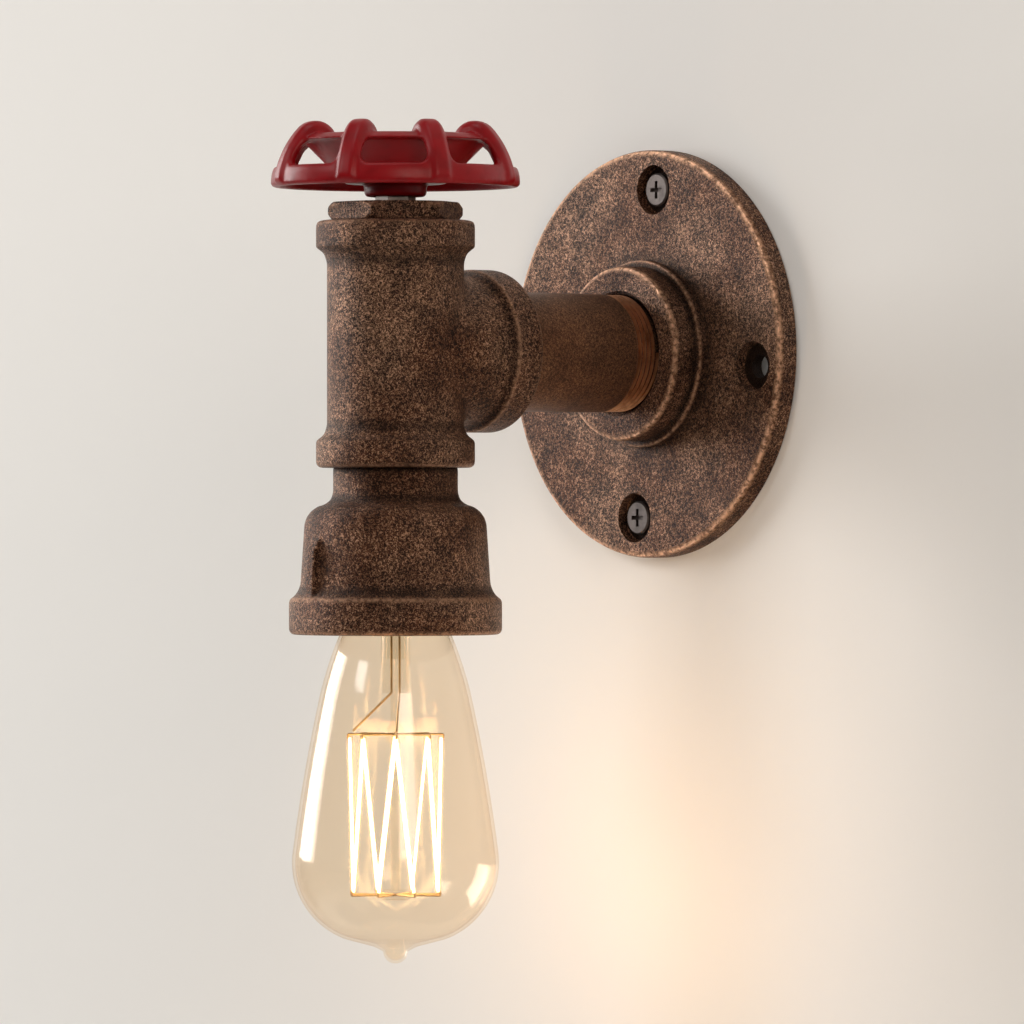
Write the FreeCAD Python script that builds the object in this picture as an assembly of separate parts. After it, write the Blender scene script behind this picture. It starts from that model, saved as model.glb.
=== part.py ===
"""Industrial pipe wall light: wall flange, pipe arm, tee, valve-wheel dimmer, cup and filament lamp.

Frame: the origin is the centre of the flange's back face on the wall. +Y goes into the wall, so the
arm runs along -Y. +Z is up. The tee's run, the wheel, the cup and the lamp share one upright axis,
LAMP_OUT in front of the wall. All sizes are in millimetres.
"""
import FreeCAD
import Part
import math
import os

V = FreeCAD.Vector
UP = V(0, 0, 1)
ORIGIN = V(0, 0, 0)

# ---- clearances -----------------------------------------------------------------------------------
SEAT_GAP = 0.05          # radial gap of screwed and seated pieces that do not move
RUN_GAP = 0.05           # radial running gap of the spindle
FREE_GAP = 0.3           # gap between a moving piece and its neighbour
SCREW_GAP = 0.15         # radial gap of a screw or stud in its clearance hole

# ---- arm and flange -------------------------------------------------------------------------------
LAMP_OUT = 109.0         # wall to upright axis
FLANGE_R = 64.9
FLANGE_T = 7.0
FLANGE_EDGE = 1.8        # rounding of the plate's front edge
HUB_BASE_R = 29.8
HUB_BASE_T = 2.5
HUB_R = 27.75
HUB_RISE = 10.9          # hub face above the plate
HUB_ROUND = 1.6
FLANGE_BORE_R = 15.0     # cable entry
HOLE_PCD_R = 52.35
HOLE_TURN = 5.0          # the hole pattern is turned clockwise from upright, seen from the front
HOLE_R = 3.75
SINK_R = 7.9
SINK_DEPTH = 3.1
PIPE_R = 18.75
PIPE_BORE_R = 15.35
PIPE_IN_HUB = 12.0       # thread engagement in the hub
PIPE_IN_TEE = 13.0       # thread engagement in the tee
HUB_CHAMFER = 1.1

# ---- wall screws ----------------------------------------------------------------------------------
WALL_SCREW_R = 2.25
WALL_SCREW_LENGTH = 35.0
WALL_HEAD_R = 5.3
WALL_HEAD_T = 1.9
WALL_TIP = 5.0
RECESS_WIDTH = 1.3       # cross recess
RECESS_SPAN = 5.6
RECESS_DEPTH = 1.3

# ---- tee ------------------------------------------------------------------------------------------
TEE_R = 21.3
TEE_UP = 40.2
TEE_DOWN = 36.6
TEE_BORE_R = 16.5
BAND_R = 24.7
BAND_T = 8.4
BAND_TAPER = 4.6
BAND_ROUND = 1.5
TAPER_HOLLOW = 0.28      # how far the hollow under a band keeps to the body, as a share
BRANCH_OUT = 39.5
BRANCH_R = 23.35
BRANCH_BAND_R = 25.5
BRANCH_BAND_T = 10.5
BRANCH_TUCK = 0.6        # root of the branch inside the run's wall
BRANCH_BLEND = 4.0
SOCKET_DEPTH = 14.0
THREAD_R = 18.0          # male threads of the bushing and of the cup
THREAD_LENGTH = 12.0

# ---- hexagon bushing ------------------------------------------------------------------------------
BUSH_FLATS = 37.0
BUSH_RISE = 5.7
BUSH_PLATE = 4.2
BUSH_BORE_R = 14.0
BUSH_CHAMFER = 1.8

# ---- reducing cup ---------------------------------------------------------------------------------
NECK_R = 19.4
NECK_LENGTH = 9.9
SHOULDER_R = 28.3
SHOULDER_DROP = 7.6
CUP_WALL_R = 29.5        # at the bottom of the tapered wall
CUP_WALL_DROP = 18.6
CUP_FLARE = 4.0
CUP_RIM_R = 33.1
CUP_RIM_H = 11.7
CUP_BORE_R = 14.8
CUP_CAVITY_R = 24.0
CUP_MOUTH_R = 28.4
CUP_MOUTH_DEPTH = 14.4
CUP_CEILING = 7.0        # cavity ceiling below the neck's lower end
RIB_WIDTH = 4.5
RIB_HEIGHT = 21.0
RIB_PROUD = 2.2
RIB_TURN = -97.6         # direction of the mould rib about the upright axis

# ---- handwheel ------------------------------------------------------------------------------------
WHEEL_GAP = 1.6          # hub boss above the bushing
BOSS_R = 9.75
BOSS_DROP = 3.0          # boss below the rim
RIM_R = 38.8
RIM_H = 6.3              # window sill above the rim's lower edge
SHELL_T = 3.0
WINDOW_H = 7.8
WINDOW_W = 20.4
WINDOW_ROUND = 2.2
LIP_IN = 9.2             # outside of the top ring, inside of the rim
LIP_H = 16.4
LIP_ROUND = 1.2
RIM_STRAIGHT = 4.0       # height at which the rim starts to arch inwards
RIM_BEVEL = 0.8
WEB_T = 2.4
WEB_FOOT_R = 15.5
WEB_FOOT_H = 1.0
ARM_COUNT = 8
ARM_W = 8.0
ARM_PROUD = 1.0          # arm foot outside the rim
CREST_IN = 10.1          # arm's crest, inside of the rim
ARM_CREST_H = 18.6
ARM_ROUND = 1.9          # bevel along an arm's edges
WHEEL_TURN = 27.5        # direction of the first arched arm
HUB_TOP_H = 5.4
SQUARE = 4.6             # square of the spindle in the wheel

# ---- spindle and dimmer ---------------------------------------------------------------------------
SPINDLE_R = 3.0
STUD_R = 2.0
STUD_LENGTH = 5.2
COLLAR_R = 4.0
COLLAR_NUT_FLATS = 11.0
COLLAR_NUT_T = 2.2
COLLAR_OVER = 0.5        # collar end above its nut
COLLAR_FOOT_R = 6.0
COLLAR_FOOT_T = 1.2
WASHER_T = 0.8
COLLAR_WASHER_R = 8.0
DIMMER_R = 12.5
DIMMER_WALL = 2.0
DIMMER_H = 18.0
BASE_T = 2.0
BASE_RING_T = 2.2
BOARD_T = 1.6
ROTOR_R = 9.2
ROTOR_T = 4.0
LUG_ARC = 30.0
WHEEL_TRAVEL = 270.0
TRAVEL_SPARE = 2.0       # degrees left at each stop
WHEEL_NUT_FLATS = 7.0
WHEEL_NUT_T = 3.2
WHEEL_WASHER_R = 5.0
DIMMER_TAB = (2.6, 1.2, 4.0)   # width, thickness, drop
DIMMER_TAB_OFF = 5.0

# ---- lampholder -----------------------------------------------------------------------------------
HOLDER_R = 20.0
HOLDER_NECK_R = 14.4
HOLDER_LENGTH = 24.5     # skirt below the seat
HOLDER_FLOOR = 4.0
HOLDER_FLOOR_UP = 8.0    # top of the floor above the seat
HOLDER_CAP_H = 11.5
HOLDER_CAP_WALL = 0.8
HOLDER_CAP_TOP = 3.0
SHELL_R = 13.4           # inside of the threaded shell
SHELL_SHEET = 0.4
SHELL_LENGTH = 21.3
TIP_WELL_R = 12.6
TAB_W = 3.0
TUBE_R = 5.0             # threaded mounting tube
TUBE_BORE_R = 3.5
TUBE_OVER = 2.3
LOCKNUT_FLATS = 14.0
LOCKNUT_T = 4.0
PLATE_R = 17.6
PLATE_T = 2.0
EARTH_RING_R = 6.6
EARTH_RING_T = 0.8
EARTH_TAB_OUT = 10.5
EARTH_TAB_W = 4.0
TERMINAL_W = 4.0
TERMINAL_H = 4.5
TERMINAL_D = 5.0
TERMINAL_SCREW_R = 1.3
TERMINAL_SCREW_HEAD = 1.2
CONTACT_R = 4.0
CONTACT_T = 0.7
RIVET_R = 1.2
LEAD_OFF = 1.9           # each lead beside the mounting tube's axis

# ---- terminal block and leads ---------------------------------------------------------------------
BLOCK_W = 24.0
BLOCK_H = 14.0
BLOCK_L = 18.0
BLOCK_FROM_WALL = 24.0
POLE_PITCH = 7.5
SLEEVE_R = 2.0
CLAMP_R = 1.4
CLAMP_DEPTH = 3.0
LEAD_R = 0.9
BEND_SHARE = 0.45        # tangent length of a bend as a share of its shorter run

# ---- lamp -----------------------------------------------------------------------------------------
LAMP_LENGTH = 140.0
LAMP_R = 32.0
TIP_Z = -190.5
WIDEST_Z = -156.7
SHOULDER_GLASS_R = 23.2
SHOULDER_GLASS_Z = -106.0
NECK_BULGE = 0.9         # bulges of the envelope beyond the chords of its outline
SIDE_BULGE = 0.6
BOWL_BULGE = 5.3
BOWL_R = 15.5
BOWL_Z = -182.9
TIP_ROOT_R = 6.8
TIP_LENGTH = 5.3
TIP_R = 3.8
GLASS_T = 1.0
CAP_R = 13.0
CAP_SHEET = 0.4
CAP_BEVEL = 1.2
CAP_LEDGE = 2.2
CAP_SHELL_LENGTH = 21.0
CAP_CONE_H = 4.5
CAP_BUTTON_R = 4.8
CAP_BUTTON_T = 1.5
CAP_CONE_TOP_R = 6.0
NECK_GLASS_R = 12.3
NECK_GLASS_IN = 7.0      # glass inside the cap
STEM_R = 4.5
STEM_BORE_R = 3.2
PINCH_TOP_Z = -97.8
PINCH_END_Z = -106.5
PINCH_W = 9.5
PINCH_T = 3.6
ROD_R = 1.5
UPPER_Z = -119.3
LOWER_Z = -169.2
BUTTON_R = 3.2
LOWER_BUTTON_R = 4.8
BUTTON_T = 3.0
CAGE_R = 14.2
STRAND_R = 0.3
WIRE_R = 0.35
STRANDS = 8              # hooks on each spider
CAGE_TURN = 7.0          # direction of the first upper hook
HOOK_DROP = 1.2

AXIS = V(0, -LAMP_OUT, 0)
THREAD_TOP_Z = TEE_UP - THREAD_LENGTH
BUSH_TOP_Z = TEE_UP + BUSH_RISE
BOSS_Z = BUSH_TOP_Z + WHEEL_GAP
RIM_Z = BOSS_Z + BOSS_DROP
LIP_R = RIM_R - LIP_IN
ARM_CREST_R = RIM_R - CREST_IN
CUP_TOP_Z = -TEE_DOWN + THREAD_LENGTH
NECK_END_Z = -TEE_DOWN - NECK_LENGTH
SEAT_Z = NECK_END_Z - CUP_CEILING
WALL_END_Z = NECK_END_Z - SHOULDER_DROP - CUP_WALL_DROP
RIM_TOP_Z = WALL_END_Z - CUP_FLARE
CUP_RIM_Z = RIM_TOP_Z - CUP_RIM_H
CAP_TOP_Z = TIP_Z + LAMP_LENGTH
CAP_SHELL_TOP_Z = CAP_TOP_Z - CAP_BUTTON_T - CAP_CONE_H
CAP_END_Z = CAP_SHELL_TOP_Z - CAP_SHELL_LENGTH
HOUSING_TOP_Z = BUSH_TOP_Z - BUSH_PLATE - WASHER_T
HOUSING_END_Z = HOUSING_TOP_Z - DIMMER_H
LID_Z = HOUSING_TOP_Z - DIMMER_WALL
BASE_END_Z = HOUSING_END_Z - BASE_T
ROTOR_TOP_Z = LID_Z - COLLAR_FOOT_T - FREE_GAP
ROTOR_END_Z = ROTOR_TOP_Z - ROTOR_T
BOARD_TOP_Z = ROTOR_END_Z - FREE_GAP
BOARD_END_Z = BOARD_TOP_Z - BOARD_T
COLLAR_TOP_Z = BUSH_TOP_Z + COLLAR_NUT_T + COLLAR_OVER
WHEEL_SEAT_Z = COLLAR_TOP_Z + FREE_GAP + 0.6
HUB_TOP_Z = RIM_Z + HUB_TOP_H
FLOOR_TOP_Z = SEAT_Z + HOLDER_FLOOR_UP
FLOOR_END_Z = FLOOR_TOP_Z - HOLDER_FLOOR
CAP_ROOF_Z = FLOOR_TOP_Z + HOLDER_CAP_H
TUBE_END_Z = CAP_ROOF_Z - HOLDER_CAP_TOP
RING_Z = CUP_TOP_Z + PLATE_T
LOCKNUT_Z = RING_Z + EARTH_RING_T
TUBE_TOP_Z = LOCKNUT_Z + LOCKNUT_T + TUBE_OVER
BLOCK_CENTRE_Z = -math.sqrt((PIPE_BORE_R - SEAT_GAP) ** 2 - (BLOCK_W / 2) ** 2) + BLOCK_H / 2
BLOCK_FRONT_Y = -(BLOCK_FROM_WALL + BLOCK_L)


# ---- helpers --------------------------------------------------------------------------------------
def at_axis(shape):
    """Move a shape built about the Z axis onto the upright axis."""
    moved = shape.copy()
    moved.translate(AXIS)
    return moved


def to_arm(shape):
    """Turn a shape built about the Z axis, with +Z away from the wall, onto the arm's axis."""
    turned = shape.copy()
    turned.rotate(ORIGIN, V(1, 0, 0), 90)
    return turned


def turned(shape, degrees):
    """A copy of the shape, turned about the Z axis."""
    copy = shape.copy()
    copy.rotate(ORIGIN, UP, degrees)
    return copy


def lathe(points):
    """Solid of revolution about Z of a closed outline of (radius, height) points."""
    corners = [V(r, 0, z) for r, z in points]
    face = Part.Face(Part.makePolygon(corners + [corners[0]]))
    return face.revolve(ORIGIN, UP, 360)


def lathe_edges(edges):
    """Solid of revolution about Z of a closed chain of edges in the XZ plane."""
    return Part.Face(Part.Wire(edges)).revolve(ORIGIN, UP, 360)


def line(a, b):
    """Straight edge between two (radius, height) points."""
    return Part.LineSegment(V(a[0], 0, a[1]), V(b[0], 0, b[1])).toShape()


def arc(a, middle, b):
    """Circular edge through three (radius, height) points."""
    return Part.Arc(V(a[0], 0, a[1]), V(middle[0], 0, middle[1]), V(b[0], 0, b[1])).toShape()


def stepped(a, middle, b, count=2):
    """Straight edges along the arc through three (radius, height) points."""
    whole = arc(a, middle, b)
    low, high = whole.ParameterRange
    spots = [whole.valueAt(low + (high - low) * i / count) for i in range(count + 1)]
    return [Part.LineSegment(p, q).toShape() for p, q in zip(spots, spots[1:])]


def rounded(corner, before, after, size):
    """Two bevels that round the corner between the directions back to before and on to after."""
    into = V(before[0] - corner[0], 0, before[1] - corner[1]).normalize() * size
    out = V(after[0] - corner[0], 0, after[1] - corner[1]).normalize() * size
    tip = V(corner[0], 0, corner[1])
    first = tip + into
    last = tip + out
    middle = tip + (into + out) * (1 - math.sqrt(0.5))
    return stepped((first.x, first.z), (middle.x, middle.z), (last.x, last.z))


def bulged(a, b, bulge):
    """Arc between two (radius, height) points that leaves their chord by the bulge, to its left."""
    chord = V(b[0] - a[0], 0, b[1] - a[1])
    side = V(-chord.z, 0, chord.x).normalize() * bulge
    return arc(a, ((a[0] + b[0]) / 2 + side.x, (a[1] + b[1]) / 2 + side.z), b)


def disc(radius, low, high):
    """Upright cylinder between two heights."""
    return Part.makeCylinder(radius, high - low, V(0, 0, low))


def tube(outer, inner, low, high):
    """Upright pipe between two heights."""
    return disc(outer, low, high).cut(disc(inner, low, high))


def box(low, high):
    """Box between two opposite corners."""
    size = high - low
    return Part.makeBox(size.x, size.y, size.z, low)


def hexagon(flats, low, high):
    """Upright hexagonal prism with a corner on the X axis."""
    radius = flats / math.sqrt(3)
    corners = [V(radius * math.cos(math.radians(60 * i)), radius * math.sin(math.radians(60 * i)), low)
               for i in range(7)]
    return Part.Face(Part.makePolygon(corners)).extrude(V(0, 0, high - low))


def nut(flats, bore, low, high, chamfer):
    """Hexagon nut whose corners are turned off at both ends."""
    corner = flats / math.sqrt(3)
    cone = lathe([(0, low), (corner - chamfer, low), (corner, low + chamfer), (corner, high - chamfer),
                  (corner - chamfer, high), (0, high)])
    return hexagon(flats, low, high).common(cone).cut(disc(bore, low, high))


def sector(radius, low, high, start, sweep):
    """Slice of a cylinder between two heights and two directions."""
    slice_ = Part.makeCylinder(radius, high - low, V(0, 0, low), UP, sweep)
    return turned(slice_, start)


def rod(a, b, radius):
    """Round bar between two points."""
    way = b - a
    return Part.makeCylinder(radius, way.Length, a, way)


def fused(shapes):
    """One solid from touching or overlapping shapes."""
    whole = shapes[0].multiFuse(shapes[1:]) if len(shapes) > 1 else shapes[0]
    return whole.removeSplitter()


def lead(points, name):
    """Round insulated lead along straight runs joined by tangent bends."""
    edges = []
    start = points[0]
    radii = []
    for before, corner, after in zip(points, points[1:], points[2:]):
        to_before = (before - corner)
        to_after = (after - corner)
        tangent = BEND_SHARE * min(to_before.Length, to_after.Length)
        half_turn = (math.pi - to_before.getAngle(to_after)) / 2
        radii.append(tangent / math.tan(half_turn))
        first = corner + V(to_before).normalize() * tangent
        last = corner + V(to_after).normalize() * tangent
        bisector = (V(to_before).normalize() + V(to_after).normalize()).normalize()
        centre_off = radii[-1] / math.cos(half_turn)
        middle = corner + bisector * (centre_off - radii[-1])
        edges.append(Part.LineSegment(start, first).toShape())
        edges.append(Part.Arc(first, middle, last).toShape())
        start = last
    edges.append(Part.LineSegment(start, points[-1]).toShape())
    path = Part.Wire(edges)
    ring = Part.Wire(Part.makeCircle(LEAD_R, points[0], points[1] - points[0]))
    solid = path.makePipeShell([ring], True, False)
    expected = math.pi * LEAD_R ** 2 * path.Length
    print(name, "bend radii", [round(r, 1) for r in radii], "volume ratio",
          round(solid.Volume / expected, 4))
    return solid


# ---- flange, screws and arm -----------------------------------------------------------------------
def hole_places():
    """Centres of the four flange holes, clockwise from the top one, as seen from the front."""
    places = []
    for quarter in range(4):
        angle = math.radians(HOLE_TURN + 90 * quarter)
        places.append((HOLE_PCD_R * math.sin(angle), HOLE_PCD_R * math.cos(angle)))
    return places


def wall_flange():
    """Round plate with a stepped hub, a threaded socket for the pipe and four sunk holes."""
    face = FLANGE_T + HUB_RISE
    step = FLANGE_T + HUB_BASE_T
    socket = face - PIPE_IN_HUB
    base_round = HUB_ROUND / 2
    edges = [
        line((FLANGE_BORE_R, 0), (FLANGE_R, 0)),
        line((FLANGE_R, 0), (FLANGE_R, FLANGE_T - FLANGE_EDGE)),
        *rounded((FLANGE_R, FLANGE_T), (FLANGE_R, 0), (0, FLANGE_T), FLANGE_EDGE),
        line((FLANGE_R - FLANGE_EDGE, FLANGE_T), (HUB_BASE_R, FLANGE_T)),
        line((HUB_BASE_R, FLANGE_T), (HUB_BASE_R, step - base_round)),
        *rounded((HUB_BASE_R, step), (HUB_BASE_R, 0), (0, step), base_round),
        line((HUB_BASE_R - base_round, step), (HUB_R, step)),
        line((HUB_R, step), (HUB_R, face - HUB_ROUND)),
        *rounded((HUB_R, face), (HUB_R, 0), (0, face), HUB_ROUND),
        line((HUB_R - HUB_ROUND, face), (PIPE_R + SEAT_GAP + HUB_CHAMFER, face)),
        line((PIPE_R + SEAT_GAP + HUB_CHAMFER, face), (PIPE_R + SEAT_GAP, face - HUB_CHAMFER)),
        line((PIPE_R + SEAT_GAP, face - HUB_CHAMFER), (PIPE_R + SEAT_GAP, socket)),
        line((PIPE_R + SEAT_GAP, socket), (FLANGE_BORE_R, socket)),
        line((FLANGE_BORE_R, socket), (FLANGE_BORE_R, 0)),
    ]
    plate = to_arm(lathe_edges(edges))
    for x, z in hole_places():
        plate = plate.cut(rod(V(x, 0, z), V(x, -FLANGE_T, z), HOLE_R))
        plate = plate.cut(rod(V(x, -(FLANGE_T - SINK_DEPTH), z), V(x, -FLANGE_T, z), SINK_R))
    return plate


def wall_screw(x, z):
    """Cross-recessed wood screw, seated in a sunk hole of the flange, with its tip in the wall."""
    end = WALL_SCREW_LENGTH - WALL_TIP
    outline = [(0, -WALL_HEAD_T), (WALL_HEAD_R - 0.5, -WALL_HEAD_T), (WALL_HEAD_R, 0.5 - WALL_HEAD_T),
               (WALL_HEAD_R, 0), (WALL_SCREW_R, 0), (WALL_SCREW_R, end), (0, WALL_SCREW_LENGTH)]
    screw = lathe(outline)
    half = RECESS_SPAN / 2
    slim = RECESS_WIDTH / 2
    low = -WALL_HEAD_T
    screw = screw.cut(box(V(-half, -slim, low), V(half, slim, low + RECESS_DEPTH)))
    screw = screw.cut(box(V(-slim, -half, low), V(slim, half, low + RECESS_DEPTH)))
    screw.rotate(ORIGIN, V(1, 0, 0), -90)
    screw.translate(V(x, -(FLANGE_T - SINK_DEPTH), z))
    return screw


def wall_screws():
    """The two screws of the top and bottom holes."""
    places = hole_places()
    return Part.makeCompound([wall_screw(*places[0]), wall_screw(*places[2])])


def arm_nipple():
    """Pipe between the hub and the tee's branch."""
    wall_end = FLANGE_T + HUB_RISE - PIPE_IN_HUB
    lamp_end = LAMP_OUT - BRANCH_OUT + PIPE_IN_TEE
    return to_arm(tube(PIPE_R, PIPE_BORE_R, wall_end, lamp_end))


# ---- tee and bushing ------------------------------------------------------------------------------
def banded_end(root_r, body_r, band_r, band_t, taper, start, end):
    """Closed half outline, from the axis, of a fitting's body that ends in a rounded band."""
    way = 1 if end > start else -1
    band = end - way * band_t
    low = band - way * taper
    rise = band_r - body_r
    hollow = (body_r + TAPER_HOLLOW * rise, low + way * (1 - 1.36 * TAPER_HOLLOW) * taper)
    return [
        line((0, start), (root_r, start)),
        line((root_r, start), (body_r, low)),
        *stepped((body_r, low), hollow, (band_r, band)),
        line((band_r, band), (band_r, end - way * BAND_ROUND)),
        *rounded((band_r, end), (band_r, start), (0, end), BAND_ROUND),
        line((band_r - BAND_ROUND, end), (0, end)),
        line((0, end), (0, start)),
    ]


def tee():
    """Cast tee: banded run and branch, a blended crotch, and a threaded socket at each mouth."""
    upper = lathe_edges(banded_end(TEE_R, TEE_R, BAND_R, BAND_T, BAND_TAPER, 0, TEE_UP))
    lower = lathe_edges(banded_end(TEE_R, TEE_R, BAND_R, BAND_T, BAND_TAPER, 0, -TEE_DOWN))
    branch = lathe_edges(banded_end(TEE_R - BRANCH_TUCK, BRANCH_R, BRANCH_BAND_R, BRANCH_BAND_T,
                                    BAND_TAPER / 2, 0, BRANCH_OUT))
    branch.rotate(ORIGIN, V(1, 0, 0), -90)
    body = fused([upper, lower, branch])
    crotch = [edge for edge in body.Edges if isinstance(edge.Curve, Part.BSplineCurve)]
    body = body.makeFillet(BRANCH_BLEND, crotch)
    body = body.cut(disc(TEE_BORE_R, -TEE_DOWN, TEE_UP))
    body = body.cut(disc(THREAD_R + SEAT_GAP, TEE_UP - SOCKET_DEPTH, TEE_UP))
    body = body.cut(disc(THREAD_R + SEAT_GAP, -TEE_DOWN, SOCKET_DEPTH - TEE_DOWN))
    body = body.cut(rod(ORIGIN, V(0, BRANCH_OUT, 0), PIPE_BORE_R))
    socket_start = BRANCH_OUT - PIPE_IN_TEE
    body = body.cut(rod(V(0, socket_start, 0), V(0, BRANCH_OUT, 0), PIPE_R + SEAT_GAP))
    return at_axis(body)


def hex_bushing():
    """Hexagon bushing screwed into the tee's top, with a plate that carries the dimmer."""
    head = nut(BUSH_FLATS, COLLAR_R + SCREW_GAP, TEE_UP, BUSH_TOP_Z, BUSH_CHAMFER)
    skirt = disc(THREAD_R, THREAD_TOP_Z, TEE_UP)
    body = fused([head, skirt])
    body = body.cut(disc(BUSH_BORE_R, THREAD_TOP_Z, BUSH_TOP_Z - BUSH_PLATE))
    body = body.cut(disc(COLLAR_R + SCREW_GAP, THREAD_TOP_Z, BUSH_TOP_Z))
    return at_axis(body)


# ---- cup ------------------------------------------------------------------------------------------
def cup_outside():
    """Edges of the cup's outside, from the thread's top down to the rim's lower edge."""
    shoulder_z = NECK_END_Z - SHOULDER_DROP
    rise = SHOULDER_R - NECK_R
    hollow_r = NECK_R + 0.3 * rise
    hollow_z = NECK_END_Z - 0.2 * SHOULDER_DROP
    return [
        line((THREAD_R, CUP_TOP_Z), (THREAD_R, -TEE_DOWN)),
        line((THREAD_R, -TEE_DOWN), (NECK_R, -TEE_DOWN)),
        line((NECK_R, -TEE_DOWN), (NECK_R, NECK_END_Z + 0.3 * SHOULDER_DROP)),
        *stepped((NECK_R, NECK_END_Z + 0.3 * SHOULDER_DROP),
                 (NECK_R + 0.07 * rise, NECK_END_Z), (hollow_r, hollow_z)),
        *stepped((hollow_r, hollow_z), (NECK_R + 0.76 * rise, NECK_END_Z - 0.46 * SHOULDER_DROP),
                 (SHOULDER_R, shoulder_z), 4),
        line((SHOULDER_R, shoulder_z), (CUP_WALL_R, WALL_END_Z)),
        *stepped((CUP_WALL_R, WALL_END_Z),
                 (CUP_WALL_R + 0.3 * (CUP_RIM_R - CUP_WALL_R), WALL_END_Z - 0.68 * CUP_FLARE),
                 (CUP_RIM_R - BAND_ROUND, RIM_TOP_Z)),
        *rounded((CUP_RIM_R, RIM_TOP_Z), (0, RIM_TOP_Z), (CUP_RIM_R, CUP_RIM_Z), BAND_ROUND),
        line((CUP_RIM_R, RIM_TOP_Z - BAND_ROUND), (CUP_RIM_R, CUP_RIM_Z + BAND_ROUND)),
        *rounded((CUP_RIM_R, CUP_RIM_Z), (CUP_RIM_R, RIM_TOP_Z), (0, CUP_RIM_Z), BAND_ROUND),
    ]


def cup_inside():
    """Corner points of the cup's inside, from the rim's lower edge up to the thread's top."""
    mouth_z = CUP_RIM_Z + CUP_MOUTH_DEPTH
    slope = CUP_MOUTH_R - CUP_CAVITY_R
    return [
        (CUP_RIM_R - BAND_ROUND, CUP_RIM_Z),
        (CUP_MOUTH_R, CUP_RIM_Z),
        (CUP_MOUTH_R, mouth_z - slope),
        (CUP_CAVITY_R, mouth_z),
        (CUP_CAVITY_R, SEAT_Z),
        (CUP_BORE_R, SEAT_Z),
        (CUP_BORE_R, CUP_TOP_Z),
        (THREAD_R, CUP_TOP_Z),
    ]


def mould_rib():
    """Upright rib on the cup's wall, sloped at its top."""
    foot_z = RIM_TOP_Z - BAND_ROUND
    inner = SHOULDER_R - 2.0
    outer = CUP_WALL_R + RIB_PROUD
    slope = 5.0
    side = [V(inner, -RIB_WIDTH / 2, foot_z), V(outer, -RIB_WIDTH / 2, foot_z),
            V(outer - 0.8, -RIB_WIDTH / 2, foot_z + RIB_HEIGHT - slope),
            V(SHOULDER_R, -RIB_WIDTH / 2, foot_z + RIB_HEIGHT),
            V(inner, -RIB_WIDTH / 2, foot_z + RIB_HEIGHT)]
    return Part.Face(Part.makePolygon(side + [side[0]])).extrude(V(0, RIB_WIDTH, 0))


def reducer_cup():
    """Bell-shaped reducing fitting that shades the lampholder, with two mould ribs."""
    points = cup_inside()
    edges = cup_outside() + [line(a, b) for a, b in zip(points, points[1:])]
    bell = lathe_edges(edges)
    ribs = [turned(mould_rib(), RIB_TURN), turned(mould_rib(), RIB_TURN + 180)]
    return at_axis(fused([bell] + ribs))


# ---- handwheel ------------------------------------------------------------------------------------
def wheel_shell():
    """Arched ring of the wheel from its rim to its top ring, with a window between each two arms."""
    top = (LIP_R - LIP_ROUND, LIP_H)
    under = (top[0], LIP_H - WEB_T)
    bow = (RIM_R - 0.3, RIM_STRAIGHT)
    inner_bow = (RIM_R - SHELL_T - 0.4, RIM_STRAIGHT - 1)
    edges = [
        line((RIM_R - RIM_BEVEL, 0), (RIM_R, RIM_BEVEL)),
        line((RIM_R, RIM_BEVEL), bow),
        *stepped(bow, (RIM_R - 3.2, 10.8), top, 4),
        line(top, under),
        *stepped(under, (RIM_R - 5.5, 9.7), inner_bow, 3),
        line(inner_bow, (RIM_R - SHELL_T, 0)),
        line((RIM_R - SHELL_T, 0), (RIM_R - RIM_BEVEL, 0)),
    ]
    shell = lathe_edges(edges)
    half = WINDOW_W / 2
    window = box(V(LIP_R - 4, -half, RIM_H), V(RIM_R + 2, half, RIM_H + WINDOW_H))
    radial = [e for e in window.Edges if abs(e.tangentAt(e.FirstParameter).x) > 0.9]
    window = window.makeFillet(WINDOW_ROUND, radial)
    for i in range(ARM_COUNT):
        shell = shell.cut(turned(window, WHEEL_TURN + (i + 0.5) * 360 / ARM_COUNT))
    return shell


def wheel_dish():
    """Conical web from the top ring down to the hub, and the hub with its square hole."""
    slope = (LIP_H - 2.2 - WEB_FOOT_H) / (LIP_R - 0.8 - WEB_FOOT_R)
    lean = WEB_T * math.sqrt(1 + slope ** 2)
    top_in_r = LIP_R - LIP_ROUND - WEB_T
    floor_h = WEB_FOOT_H + WEB_T
    floor_r = WEB_FOOT_R - (lean - WEB_T) / slope
    outline = [
        (BOSS_R, WEB_FOOT_H), (WEB_FOOT_R, WEB_FOOT_H), (LIP_R - 0.8, LIP_H - 2.2),
        (LIP_R, LIP_H - LIP_ROUND), (LIP_R - LIP_ROUND, LIP_H), (top_in_r, LIP_H - 0.4),
        (floor_r, floor_h), (BOSS_R - 1.0, floor_h), (BOSS_R - 1.6, HUB_TOP_H), (0, HUB_TOP_H),
        (0, -BOSS_DROP), (BOSS_R - 0.8, -BOSS_DROP), (BOSS_R, 0.8 - BOSS_DROP),
    ]
    dish = lathe(outline)
    recess_r = COLLAR_NUT_FLATS / math.sqrt(3) + FREE_GAP + 0.6
    dish = dish.cut(disc(recess_r, -BOSS_DROP, WHEEL_SEAT_Z - RIM_Z))
    half = SQUARE / 2 + SEAT_GAP
    return dish.cut(box(V(-half, -half, -BOSS_DROP), V(half, half, HUB_TOP_H)))


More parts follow.
